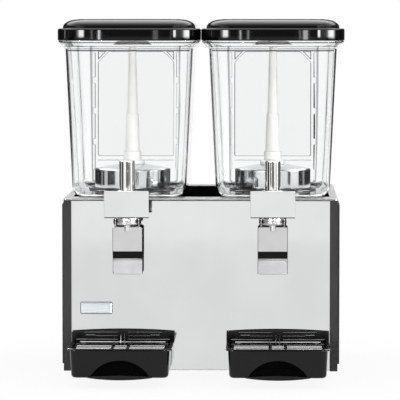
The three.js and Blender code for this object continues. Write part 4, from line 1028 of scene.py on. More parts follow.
@dataclass
class Tank(UnitPiece):
    """The clear tank: leaning walls, a round floor edge, a flared rim, and what is raised on its back wall."""

    width: float = 198.0
    depth: float = 290.0
    height: float = 229.6
    floor: float = 0.4
    lean: float = 11.0
    wall: float = 2.5
    corner: float = 36.0
    floor_thickness: float = 3.0
    floor_round: float = 15.0
    flare: float = 11.0
    flare_inside: float = 7.0
    flare_shares: tuple[float, ...] = (1.0, 0.96, 0.43, 0.3, 0.0)
    flare_start: float = 1.6
    flare_under: float = 1.9
    ledge: float = 242.9
    lip_inset: float = 1.6
    lip_wall: float = 2.4
    lip_height: float = 14.0
    dome_back: float = 150.0
    hole_radius: float = 66.2
    collar_wall: float = 2.8
    collar_height: float = 9.0
    spout_z: float = 9.0
    spout_radius: float = 7.5
    spout_bore: float = 5.5
    spout_tip: float = -14.0
    raise_height: float = 1.2
    raise_root: float = 0.9
    raise_slope: float = 1.1
    panel_half: float = 62.5
    panel_bottom: float = 52.0
    panel_top: float = 223.0
    panel_chamfer: float = 17.0
    rib_drop: float = 6.5
    rib_width: float = 1.8
    bar_offset: float = 69.5
    bar_width: float = 6.5
    bar_length: float = 42.0
    bar_bottom: float = 30.0
    bar_pitch: float = 50.0
    bar_corner: float = 1.6
    bar_count: int = 4
    # Where the rim's front takes painted dark lines: how far over the wall's top, and how dark
    rim_shade_lines: Table = ((-2.25, 1.0), (4.15, 0.75))
    rim_shade_half: float = 0.5
    rim_facing: float = -0.3
    rim_front: float = 20.0
    # Where the raised forms that take painted shade lie: half their width, how far they stand proud, and the slope
    # of their steps
    raised_half: float = 75.0
    raised_proud: Pair = (0.3, 2.0)
    step_slope: Pair = (0.2, 0.95)

    @property
    def lean_angle(self) -> float:
        """How far the walls lean out, in radians."""
        return math.atan(self.lean / self.height)

    @property
    def raised_foot(self) -> Vector:
        """The place in metres that the forms on the back wall are drawn from."""
        return Vector((0, (self.depth - self.lean - self.wall) * MM, self.floor * MM))

    def level(self, height: float, inset: float) -> list[Triple]:
        """A ring of the leaning wall.

        Args:
            height: The ring's height over the floor.
            inset: How far it is drawn in from the outer face.

        Returns:
            The ring's points.
        """
        drawn = self.lean * (1 - height / self.height) + inset
        return ring(
            self.width - 2 * drawn, self.depth - 2 * drawn, self.corner - drawn, self.floor + height,
            self.depth / 2, 12)

    def wide(self, out: float, z: float) -> list[Triple]:
        """A ring above the wall, let out from the wall's top."""
        return ring(self.width + 2 * out, self.depth + 2 * out, self.corner + out, z, self.depth / 2, 12)

    def shell(self, name: str) -> Obj:
        """The tank's walls and floor, drawn as one skin.

        Args:
            name: The object's name.

        Returns:
            The shell, drawn up inside and then down outside.
        """
        top, inner_round, outer_round = self.floor + self.height, self.floor_round - self.wall, self.floor_round
        rise, slope, start = self.ledge - top, self.flare_inside + self.wall, top + self.flare_start
        lip, crest = self.flare - self.lip_inset, self.ledge + self.lip_height
        inside = [
            self.level(self.floor_thickness + inner_round * (1 - c), self.wall + inner_round * (1 - s))
            for c, s in quarter(8)]
        upper = [
            (-self.wall, start - 0.4),
            *((-self.wall + slope * t, start + (slope - 0.6) * t) for t in (0.04, 0.96)),
            (self.flare_inside, start + slope), (lip - self.lip_wall, crest - 0.8),
            (lip - self.lip_wall + 0.5, crest), (lip - 0.5, crest), (lip, crest - 0.8), (lip, self.ledge),
            (self.flare - 0.5, self.ledge), (self.flare, self.ledge - 0.5),
            *((self.flare * t, top + (rise - self.flare_under) * t) for t in self.flare_shares)]
        outside = [self.level(self.height - drop, 0) for drop in (1.3, 3.2)]
        outside += [self.level(outer_round * (1 - c), outer_round * (1 - s)) for c, s in quarter(8)[::-1]]
        return loft(name, inside + [self.wide(out, z) for out, z in upper] + outside)

    def panel(self, drawn: float) -> list[Pair]:
        """The raised panel's outline, drawn in.

        Args:
            drawn: How far it is drawn in.

        Returns:
            The outline.
        """
        half, low, high = self.panel_half - drawn, self.panel_bottom + drawn, self.panel_top - drawn
        chamfer = self.panel_chamfer - drawn * 0.6
        return softened([
            (-half, low), (half, low), (half, high - chamfer), (half - chamfer, high),
            (-half + chamfer, high), (-half, high - chamfer)], 3)

    def gusset(self, sign: int, share: float) -> list[Pair]:
        """The outline of one corner over the panel.

        Args:
            sign: Minus one on the left and one on the right.
            share: How far it is drawn in towards its middle.

        Returns:
            The outline.
        """
        half, top, reach = self.panel_half, self.panel_top, self.panel_chamfer - 3
        corner = [(sign * half, top), (sign * half, top - reach), (sign * (half - reach), top)]
        middle = (sign * (half - reach / 3), top - reach / 3)
        return [(u + (middle[0] - u) * share, v + (middle[1] - v) * share) for u, v in corner]

    def bar(self, sign: int, number: int, drawn: float) -> list[Pair]:
        """The outline of one bar beside the panel.

        Args:
            sign: Minus one left of the panel and one right of it.
            number: The bar's place, from the bottom.
            drawn: How far the outline is drawn in.

        Returns:
            The outline's points, across and up the wall.
        """
        middle = (sign * self.bar_offset, self.bar_bottom + number * self.bar_pitch + self.bar_length / 2)
        return rounded(
            self.bar_width - 2 * drawn, self.bar_length - 2 * drawn, self.bar_corner - drawn * 0.6, 4, middle)

    def raised(self) -> list[Obj]:
        """The panel and the bars on the back wall, each with a sloping edge, leaned with the wall.

        Returns:
            The forms, each from its wide foot to its narrower face.
        """
        slope, rib = self.raise_slope, (0, self.panel_bottom - self.rib_drop)
        forms = [[self.panel(d) for d in (0, 0, slope)]]
        forms += [[self.gusset(sign, share) for share in (0, 0, 0.3)] for sign in (-1, 1)]
        forms.append([rounded(2 * self.panel_half - d, self.rib_width - d, 0.3, 2, rib) for d in (0, 0, 1.0)])
        forms += [
            [self.bar(sign, i, d) for d in (0, 0, slope)] for sign in (-1, 1) for i in range(self.bar_count)]
        places = (self.raise_root, -0.1, -self.raise_height)
        made = [
            loft("raised", [[(u, y, v) for u, v in outline] for outline, y in zip(form, places)])
            for form in forms]
        turn = Matrix.Translation(self.raised_foot) @ Matrix.Rotation(-self.lean_angle, 4, "X")
        for piece in made:
            piece.data.transform(turn)
        return made

    def mark_raised(self, tank: Obj) -> None:
        """Marks where painted shade goes: the steps and faces of the raised forms, and dark lines on the rim's
        front.

        Args:
            tank: The tank, before it is moved to its unit.
        """
        mesh = tank.data
        marks = (PAINTED_STEP, PAINTED_FACE, PAINTED_RIM)
        for name in marks:
            mesh.attributes.new(name, "FLOAT", "FACE")
        step, face, line = (mesh.attributes[name] for name in marks)
        along = Vector((0, -math.cos(self.lean_angle), math.sin(self.lean_angle)))
        top, (least, most), (steep, flat) = (self.floor + self.height) * MM, self.raised_proud, self.step_slope
        for polygon in mesh.polygons:
            centre = polygon.center
            if polygon.normal.y < self.rim_facing and centre.y < self.rim_front * MM:
                for middle, share in self.rim_shade_lines:
                    if abs(centre.z - top - middle * MM) < self.rim_shade_half * MM:
                        line.data[polygon.index].value = share
            proud = (centre - self.raised_foot).dot(along) / MM
            if abs(centre.x) > self.raised_half * MM or not least < proud < most:
                continue
            level = polygon.normal.dot(along)
            step.data[polygon.index].value = float(steep < level < flat)
            face.data[polygon.index].value = float(level >= flat)

    def build(self) -> None:
        """Makes one tank."""
        tank = self.shell(self.node("tank_moulding"))
        centre, rim, top = (0, self.dome_back), self.hole_radius + self.collar_wall, self.collar_height
        collar = turned("collar", [
            (rim + 2, 1.0), (rim + 2, 3.2), (rim + 0.6, 3.8), (rim, 5), (rim, top - 0.8), (rim - 0.8, top)],
            centre=centre, steps=96)
        hole = turned("hole", [(self.hole_radius, -4), (self.hole_radius, top + 4)], centre=centre, steps=96)
        root, place, tip = self.lean + self.floor_round / 2, (0, self.spout_z), self.spout_tip
        spout = turned("spout", [
            (self.spout_radius - 0.5, tip), (self.spout_radius, tip + 0.5), (self.spout_radius, root)],
            Axis.Y, place, 40)
        bore = turned("bore", [(self.spout_bore, tip - 3), (self.spout_bore, root + 15)], Axis.Y, place, 40)
        joined(tank, collar, spout, *self.raised())
        cut(tank, hole, bore)
        self.mark_raised(tank)
        self.dress(tank, CLEAR_PC, "tank", "clear_plastic", "tank")
        tank.visible_shadow = tank.visible_diffuse = False


@dataclass
class CoolingDome(UnitPiece):
    """The drawn steel cup that cools the drink, its seal, and the spray tube that stands on it."""

    radius: float = 60.0
    height: float = 46.0
    fall: float = 6.0
    skin: float = 1.5
    back: float = 150.0
    crown_flat: float = 22.0
    flange_radius: float = 70.0
    flange_top: float = -3.1
    shoulder_round: float = 3.0
    seal_clearance: float = 0.3
    seal_width: float = 5.6
    tube_turn: Table = (
        (17.8, 46.3), (19.6, 46.3), (20, 46.8), (20, 50.2), (19.4, 51.8), (17.8, 52.8), (14.9, 52.8),
        (14.0, 53.6), (14.0, 65.6), (13.4, 66.5), (12.2, 66.8), (11.5, 67.4), (9.9, 125.2), (9.5, 126),
        (8.7, 126.1), (8.3, 126.7), (5.75, 232.2), (5.3, 233), (3.6, 233), (3.6, 50.6), (17.8, 50.6))

    def cup(self) -> None:
        """The cup, with a drawn shoulder and a faintly coned crown."""
        shoulder, r, top, skin = self.height - self.fall, self.radius, self.height, self.skin
        flange, flat, bend = self.flange_top, self.crown_flat, self.shoulder_round
        cup = turned(self.node("dome_drawn_cup"), [
            (flat, top - skin), (r - 4, shoulder - skin), (r - skin, shoulder - 4), (r - skin, flange - skin),
            (self.flange_radius, flange - skin), (self.flange_radius, flange), (r + 1, flange), (r, flange + 1),
            *arc((r - bend, shoulder - bend), bend, 0, 84, 6), (flat + 3, top - 0.35), (flat - 3, top), (2, top),
            (1.5, top + 0.4), (1.5, top + 2.7), (1.1, top + 3.2)], centre=(0, self.back), steps=128)
        self.dress(cup, DRAWN_STEEL, MACHINE, "stainless_sheet", "evaporator_dome")

    def seal(self) -> None:
        """The rubber ring round the cup's foot, with a lip that the tank's hole closes on."""
        inner = self.radius + self.seal_clearance
        outer = self.radius + self.seal_clearance + self.seal_width
        seal = lathe(self.node("dome_seal_ring"), [
            (inner, 0), (outer, 0), (outer, 2.2), (outer - 0.8, 2.8), (outer - 0.8, 3.4), (outer, 4.0),
            (outer, 5.3), (outer - 0.7, 6.6), (outer - 2, 7.8), (outer - 2.6, 8), (inner, 8)],
            centre=(0, self.back), steps=96)
        self.dress(seal, RUBBER, MACHINE, "foot_rubber", "dome_seal")

    def spray_tube(self) -> None:
        """The white riser on its pump cover: collar, lower tube, step, and a tapered upper tube."""
        tube = lathe(self.node("spray_tube_moulding"), self.tube_turn, centre=(0, self.back))
        self.dress(tube, WHITE_PP, MACHINE, "white_plastic", "spray_tube")

    def build(self) -> None:
        """Makes one dome with what stands on it and round it."""
        self.cup()
        self.seal()
        self.spray_tube()


# Taps

@dataclass
class Tap(UnitPiece):
    """One tap: housing, sleeve, nozzle, lever, shafts and the steel cover in front of them."""

    y: float = -42.0
    housing_radius: float = 16.0
    housing_top: float = 14.6
    housing_bottom: float = -38.0
    neck_inset: float = 1.4
    cap_height: float = 12.0
    # How far in from the housing's radius, and how far over its foot
    cap_turn: Table = (
        (1.6, 0), (0.5, 0.5), (0, 1.6), (0, 4.2), (0.6, 4.8), (0.6, 6), (0, 6.6), (0, 11), (0.5, 11.8),
        (1.35, 11.8), (1.35, 0.55))
    cap_bore: float = 4.9
    duct_half: float = 7.0
    duct_depth: float = 22.0
    inlet_radius: float = 5.2
    inlet_z: float = 9.0
    shoulder_z: float = 8.7
    chamber_radius: float = 12.15
    chamber_foot_radius: float = 14.2
    outlet_radius: float = 3.9
    sleeve_radius: float = 11.85
    sleeve_bore: float = 9.6
    sleeve_foot: float = 8.9
    sleeve_top: float = 60.5
    sleeve_round: float = 2.0
    nozzle_turn: Table = (
        (2.8, -47.3), (3.2, -47.7), (4.3, -47.7), (4.7, -47.3), (4.7, -38.3), (3.6, -38.3), (3.6, -36.3),
        (2.8, -36.3))
    pivot_z: float = -33.0
    pivot_bore: float = 2.8
    lever_width: float = 44.6
    lever_sheet: float = 1.6
    lever_corner: float = 3.5
    lever_top: float = -42.0
    upper_bottom: float = -79.5
    band_bottom: float = -94.0
    lever_bottom: float = -115.7
    upper_front: float = -33.0
    lower_front: float = -24.6
    hem: float = 3.0
    ear_inner: float = 17.0
    ear_radius: float = 4.6
    ear_swing: float = 15.0
    # The black sheet behind the lever, which is painted shade: its thickness, and how far it reaches past the
    # lever's sides
    shade_sheet_thick: float = 1.4
    shade_sheet_over: float = 0.7
    shaft_turn: Table = (
        (2.1, 8.2), (2.5, 8.6), (2.5, 18.9), (3.1, 18.9), (3.1, 20.1), (2.7, 20.7), (2.0, 21))
    shaft_radius: float = 2.5
    cam_throw: Pair = (6.5, 0.7)
    cam_radius: float = 1.8
    cam_ends: Pair = (8.2, 10.6)
    washer_radii: Pair = (2.9, 4.7)
    washer_ends: tuple[Pair, ...] = ((16.3, 16.95), (18.65, 20.4))
    cover_width: float = 68.3
    cover_top: float = 15.0
    cover_bottom: float = -26.2
    cover_front: float = -68.0
    cover_sheet: float = 1.5
    cheek_top: float = -4.4
    cheek_bottom: float = -18.0
    cheek_foot: float = 7.5
    heel_back: float = -8.3

    @property
    def pivot(self) -> Pair:
        """The y and z of the lever's pivot."""
        return (self.y, self.pivot_z)

    def cross_hole(self, half: float) -> Obj:
        """A cutter for the lever's pivot, as long as twice a half."""
        return turned("pivots", [(self.pivot_bore, -half), (self.pivot_bore, half)], Axis.X, self.pivot, 24)

    def housing(self) -> None:
        """The turned barrel with its duct and inlet behind, and the chamber inside."""
        r, low, high, y, centre = self.housing_radius, self.housing_bottom, self.housing_top, self.y, (0, self.y)
        neck, joint, back = r - self.neck_inset, low + self.cap_height, y + self.duct_depth - 2
        body = turned(self.node("tap_housing_barrel"), [
            (neck, low + 0.6), (neck, joint), (r, joint + 0.6), (r, high - 1), (r - 1, high)], centre=centre)
        bore = self.cap_bore
        cap = lathe(self.node("tap_housing_cap"), [
            (bore, low), *((r - d, low + h) for d, h in self.cap_turn), (bore, low + 0.55)], centre=centre)
        cut(cap, turned("slots", [(3.2, -20), (3.2, 20)], Axis.X, self.pivot, 24))
        # Painted shade: the cap takes the darker brushed copy of the sheet, which dims its highlight
        self.dress(cap, BRUSHED_SHADED_STEEL, "tank", "polished_steel")
        half, rear, tube = self.duct_half, y + self.duct_depth, self.inlet_radius
        duct = prism(
            "duct", softened([(-half, y), (half, y), (half, rear), (-half, rear)], 1.5), Axis.Z, low + 2, high)
        shoulder = turned("shoulder", [(half, back), (half, -14.3)], Axis.Y, (0, self.shoulder_z), 32)
        inlet = turned(
            "inlet", [(tube, back), (tube, -2.6), (tube - 0.4, -2)], Axis.Y, (0, self.inlet_z), 32)
        wide, narrow = self.chamber_foot_radius, self.chamber_radius
        chamber = turned(
            "chamber", [(wide, low + 2), (wide, joint), (narrow, joint), (narrow, high + 2)], centre=centre)
        outlet = turned(
            "outlet", [(self.outlet_radius, low - 2), (self.outlet_radius, low + 4)], centre=centre, steps=32)
        joined(body, duct, shoulder, inlet)
        cut(body, chamber, outlet, self.cross_hole(18))
        self.dress(body, TUBE_STEEL, "tank", "polished_steel", "tap_housing")

    def tubes(self) -> None:
        """The polished sleeve over the chamber, and the steel nozzle below it."""
        r, top, edge = self.sleeve_radius, self.sleeve_top, self.sleeve_round
        sleeve = turned(self.node("tap_sleeve_tube"), [
            (self.sleeve_bore, top - 2.4), (self.sleeve_bore, self.sleeve_foot), (r, self.sleeve_foot),
            *arc((r - edge, top - edge), edge, 0, 90, 6)], centre=(0, self.y), steps=96)
        nozzle = lathe(self.node("nozzle_tube"), self.nozzle_turn, centre=(0, self.y), steps=48)
        for tube, node in ((sleeve, "tap_sleeve"), (nozzle, "nozzle")):
            self.dress(tube, TUBE_STEEL, "tank", "polished_steel", node)

    def lever(self) -> None:
        """The push lever: one sheet bent twice, a hem along its top, and two ears that hang it, with painted shade:
        a black sheet behind it and a black band on its slanted face.
        """
        front, low, t, half = self.upper_front, self.lower_front, self.lever_sheet, self.lever_width / 2
        top, knee, ankle, foot = self.lever_top, self.upper_bottom, self.band_bottom, self.lever_bottom
        pad = prism(self.node("lever_pressing"), softened([
            (front, top), (front, knee), (low, ankle), (low, foot), (low + t, foot), (low + t, ankle - 0.3),
            (front + t, knee - 0.3), (front + t, top - t), (front + t + self.hem, top - t),
            (front + t + self.hem, top)], 0.75, 4), Axis.X, -half, half)
        face = prism("face", rounded(
            self.lever_width, top - foot, self.lever_corner, 8, (0, foot + (top - foot) / 2)), Axis.Y, -60, 0)
        combined("INTERSECT", pad, [face])
        rim = arc(self.pivot, self.ear_radius, 90 - self.ear_swing, 270 - self.ear_swing, 12)
        outline = [*rim, (front + 0.7, top - 2), (front + t, top - 2), (front + t, top)]
        ears = [
            prism("ear", outline, Axis.X, *sorted((sign * self.ear_inner, sign * (self.ear_inner + t))))
            for sign in (-1, 1)]
        joined(pad, *ears)
        cut(pad, self.cross_hole(40))
        bevelled(pad, 0.3, 2, 40)
        # The lever takes a darker copy of the stainless sheet: painted shade
        self.dress(pad, SHADED_LEVER_STEEL, "lever", "stainless_sheet", "lever")
        # Painted shade: the lower pad's front faces take the darker brushed copy of the sheet
        pad.data.materials.append(BRUSHED_SHADED_STEEL.build())
        level = local().z + ankle * MM
        for polygon in pad.data.polygons:
            if polygon.center.z < level and polygon.normal.y < -0.9:
                polygon.material_index = 1
        # Painted shade: a flat black sheet behind the lever, a little wider than it, and a black band over its
        # slanted face; the panel mirrors the sheet as a dark line beside the lever
        back = [(front + t, top - t - 0.4), (front + t, knee), (low + t, ankle), (low + t, foot + 1)]
        lining = prism(
            self.node("lever_lining"), [*back, *((v + self.shade_sheet_thick, z) for v, z in reversed(back))], Axis.X,
            -half - self.shade_sheet_over, half + self.shade_sheet_over)
        band = prism("band", [
            (front - 0.1, knee - 0.4), (front + 0.4, knee - 0.4), (low + 0.4, ankle + 0.3),
            (low - 0.1, ankle + 0.3)], Axis.X, -half, half)
        gathered(lining, band)
        self.dress(lining, FLAT_BLACK, "lever", "satin_black")

    def shafts(self) -> None:
        """The two shafts with a round head outside the ear and the cam inside the housing."""
        throw, rise = self.cam_throw
        lean = math.degrees(math.atan2(rise, throw))
        inner, outer = self.washer_radii
        for hand in Side:
            node = f"lever_shaft_{hand.value}"
            shaft = turned(self.node(f"{node}_turned"), self.shaft_turn, Axis.X, self.pivot, 32)
            cam = prism("cam", [
                *arc((self.y + throw, self.pivot_z + rise), self.cam_radius, lean - 90, lean + 90, 8),
                *arc(self.pivot, self.shaft_radius, lean + 90, lean + 270, 8)], Axis.X, *self.cam_ends)
            washers = [
                lathe("washer", [(inner, low), (outer, low), (outer, high), (inner, high)], Axis.X, self.pivot, 32)
                for low, high in self.washer_ends]
            gathered(shaft, cam, *washers)
            if hand is Side.LEFT:
                shaft.data.transform(Matrix.Scale(-1, 4, (1, 0, 0)))
                shaft.data.flip_normals()
            self.dress(shaft, FLAT_BLACK, "lever", "satin_black", node)

    def cover(self) -> None:
        """The cover: a steel plate with a black hem-shaped strip along its foot as painted shade, on two black
        cheeks that foot on the panel.
        """
        half, front, t, foot = self.cover_width / 2, self.cover_front, self.cover_sheet, self.cover_bottom
        low = foot + 1.2
        height = self.cover_top - low
        plate = prism(self.node("tap_cover_pressing"), rounded(
            self.cover_width, height, 1.5, 8, (0, low + height / 2)), Axis.Y, front, front + t)
        # Painted shade: a flat black strip under the plate's foot, for the dark line along the cover's bottom edge
        foot_shade = prism(self.node("tap_cover_edging"), softened([
            (front + 0.3, foot), (front + 4, foot), (front + 4, low + 2), (front + t, low + 2), (front + t, low),
            (front + 0.3, low)], 0.3, 2), Axis.X, 0.4 - half, half - 0.4)
        self.dress(foot_shade, FLAT_BLACK, MACHINE, "satin_black")
        bevelled(plate, 0.3, 2, 40)
        self.dress(plate, PANEL_STEEL, MACHINE, "stainless_sheet", "tap_cover")
        bottom, heel_back, inward = self.cheek_bottom, self.heel_back, half - self.cheek_foot
        strip = softened([
            (half, front + t), (half, -0.3), (inward, -0.3), (inward, -1.8), (half - t, -1.8),
            (half - t, front + t)], 1.0, 4)
        heel = [(heel_back, bottom), (2, bottom + 10.3), (2, bottom - 5), (heel_back, bottom - 5)]
        bends = []
        for sign in (-1, 1):
            cheek = prism("cheek", [(sign * u, v) for u, v in strip], Axis.Z, bottom, self.cheek_top)
            bends.append(cut(cheek, prism("heel", heel, Axis.X, sign * half - 12, sign * half + 12)))
        cheeks = gathered(*bends)
        cheeks.name = self.node("tap_cover_cheeks")
        bevelled(cheeks, 0.3, 2, 40)
        self.dress(cheeks, FLAT_BLACK, MACHINE, "satin_black")

    def build(self) -> None:
        """Makes one tap."""
        self.housing()
        self.tubes()
        self.lever()
        self.shafts()
        self.cover()


# Drip trays

@dataclass
class DripTray(UnitPiece):
    """The black tray: a tapered tub with a rolled rim, hooks, raised back, finger scoop and ribs."""

    width: float = 151.0
    reach: float = 126.0
    top: float = -220.0
    height: float = 44.8
    taper: float = 2.0
    corner: float = 10.0
    floor_round: float = 5.0
    wall: float = 2.2
    rim_over: float = 3.75
    rim_thick: float = 3.0
    back_gap: float = 8.4
    splash_rise: float = 14.0
    splash_arch: float = 3.0
    scoop_width: float = 93.0
    scoop_height: float = 27.0
    scoop_depth: float = 8.0
    scoop_steps: int = 32
    rib_count: int = 4
    rib_proud: float = 1.2
    lip_proud: float = 4.0
    lip_drop: float = 2.6
    lip_tall: float = 6.0
    hook_width: float = 22.0
    hook_offset: float = 44.0
    hook_bar: float = -213.7
    # The splash back's ribs: the level under its crest or over the rim, the radius, and both ends
    crest_ribs: tuple[tuple[float, ...], ...] = ((-1.0, 0.9, 8, 60), (-6.5, 0.9, 8, 42), (-5.6, 1.6, 43, 57))
    rim_ribs: tuple[tuple[float, ...], ...] = ((1.8, 1.3, 8, 72),)

    @property
    def x(self) -> float:
        """The x of the tray's middle, in metres."""
        return self.side.tray_x

    @property
    def bottom(self) -> float:
        """The underside's level."""
        return self.top - self.height

    @property
    def depth(self) -> float:
        """The tub's size from front to back."""
        return self.reach - self.back_gap

    @property
    def middle(self) -> float:
        """The y of the tub's middle."""
        return -self.back_gap - self.depth / 2

    def level(self, z: float, drawn: float) -> list[Triple]:
        """A ring of the tapered tub.

        Args:
            z: The ring's height.
            drawn: How far it is drawn in from the outer face.

        Returns:
            The ring's points.
        """
        inward = drawn + self.taper * (self.top - z) / self.height
        return ring(
            self.width - 2 * inward, self.depth - 2 * inward, max(self.corner - drawn, 0.5), z, self.middle)

    def rim(self, out: float, z: float) -> list[Triple]:
        """A ring of the rim, let out from the tub except at its back."""
        return ring(self.width + 2 * out, self.depth + out, self.corner + out, z, self.middle - out / 2)

    def tub(self, name: str) -> Obj:
        """The walls and floor with the rolled rim, drawn as one skin.

        Args:
            name: The object's name.

        Returns:
            The tub.
        """
        bottom, top, wall, over = self.bottom, self.top, self.wall, self.rim_over
        inner, outer, low = self.floor_round - wall, self.floor_round, self.top - self.rim_thick
        inside = [self.level(bottom + wall + inner * (1 - c), wall + inner * (1 - s)) for c, s in quarter(6)]
        levels = (
            (over - 1.4, top), (over - 0.4, top - 0.4), (over, top - 1.4), (over, low + 0.5), (over - 0.5, low),
            (0.6, low))
        edge = [
            self.level(top - 0.6, wall), self.level(top, wall - 0.6), *(self.rim(out, z) for out, z in levels),
            self.level(low - 0.6, 0)]
        outside = [self.level(bottom + outer * (1 - c), outer * (1 - s)) for c, s in quarter(6)[::-1]]
        return loft(name, inside + edge + outside)

    def scoop_half(self, height: float) -> float:
        """Half of the scoop's width at a height over the tray's underside."""
        radius = ((self.scoop_width / 2) ** 2 + self.scoop_height**2) / (2 * self.scoop_height)
        return math.sqrt(radius**2 - (radius - self.scoop_height + height) ** 2)

    def scooped(self, tub: Obj, hull: Obj) -> None:
        """Presses the arched finger scoop into the front, with its stippled, ribbed lining and its lip.

        Args:
            tub: The tray's tub.
            hull: The tub's outside as a filled body, which is used up.
        """
        front, wall, bottom, lip_tall = -self.reach, self.wall, self.bottom, self.lip_tall
        width, tall, steps = self.scoop_width, self.scoop_height, self.scoop_steps
        back = front + self.taper + self.scoop_depth
        backing = prism(
            "backing", arch(width + 2 * wall, tall + wall, bottom, steps), Axis.Y, front + 1, back + wall)
        combined("INTERSECT", backing, [hull])
        joined(tub, backing)
        pocket = prism("pocket", arch(width, tall, bottom, steps), Axis.Y, front - 4, back)
        floor = block("floor", (-80, front - 8, bottom - 5), (80, back + 1, bottom + wall))
        cut(tub, cut(pocket, floor))
        ribs = [prism("lining", arch(width - 2, tall - 1, bottom + 0.5, steps), Axis.Y, back - 0.4, back - 0.05)]
        for i in range(1, self.rib_count + 1):
            height = lip_tall + i * (tall - lip_tall) / (self.rib_count + 1)
            half, z, proud = self.scoop_half(height) - self.rib_proud, bottom + height, back - self.rib_proud
            ribs.append(prism("rib", softened([
                (back + wall / 2, z - 0.9), (proud, z - 0.5), (proud, z + 0.5), (back + wall / 2, z + 0.9)],
                0.4), Axis.X, -half, half))
        lip = prism("lip", [
            *arch(width, -self.lip_proud, front, steps), (width / 2, back), (-width / 2, back)],
            Axis.Z, bottom - 8, bottom + lip_tall)
        crest, flank = (0, bottom + lip_tall * 0.8), bottom + 0.62 * lip_tall
        face = prism("face", [
            *arch(width, -self.lip_drop, bottom, steps), (width / 2, bottom + wall), (width / 4, flank), crest,
            (-width / 4, flank), (-width / 2, bottom + wall)], Axis.Y, front - 9, back)
        combined("INTERSECT", lip, [face])
        lining = gathered(*ribs)
        lining.name = self.node("drip_tray_scoop_lining")
        self.dress(lining, MATT_ABS, "tray", "satin_black")
        joined(tub, lip)

    def build(self) -> None:
        """Makes one tray."""
        tub = self.tub(self.node("drip_tray_moulding"))
        hull = loft("hull", [self.level(z, 0.05) for z in (self.bottom, self.top - 1)])
        self.scooped(tub, hull)
        back, half = -self.back_gap - self.taper / 2, self.width / 2 + self.rim_over
        crest, low, bar = self.top + self.splash_rise, self.top - self.rim_thick, self.hook_bar
        splash = prism(
            "splash", [*arch(2 * half, self.splash_arch, crest, 24), (-half, low), (half, low)], Axis.Y,
            back - self.wall, back)
        profile = softened([
            (back - 1, bar), (-2.7, bar), (-2.7, bar - 4), (-0.3, bar - 4), (-0.3, bar + 2), (back - 1, bar + 2)],
            0.4, 2)
        hooks = [
            prism("hook", profile, Axis.X, x - self.hook_width / 2, x + self.hook_width / 2)
            for x in (-self.hook_offset, self.hook_offset)]
        rows = [(crest + z, *rest) for z, *rest in self.crest_ribs]
        rows += [(self.top + z, *rest) for z, *rest in self.rim_ribs]
        ribs = [
            prism("rib", arc((back - self.wall, z), r, 80, 280, 10), Axis.X, *sorted((sign * near, sign * far)))
            for z, r, near, far in rows for sign in (-1, 1)]
        joined(tub, splash, *hooks, *ribs)
        bevelled(tub, 0.35, 2, 50)
        self.dress(tub, TRAY_PP, "tray", "satin_black", "drip_tray")


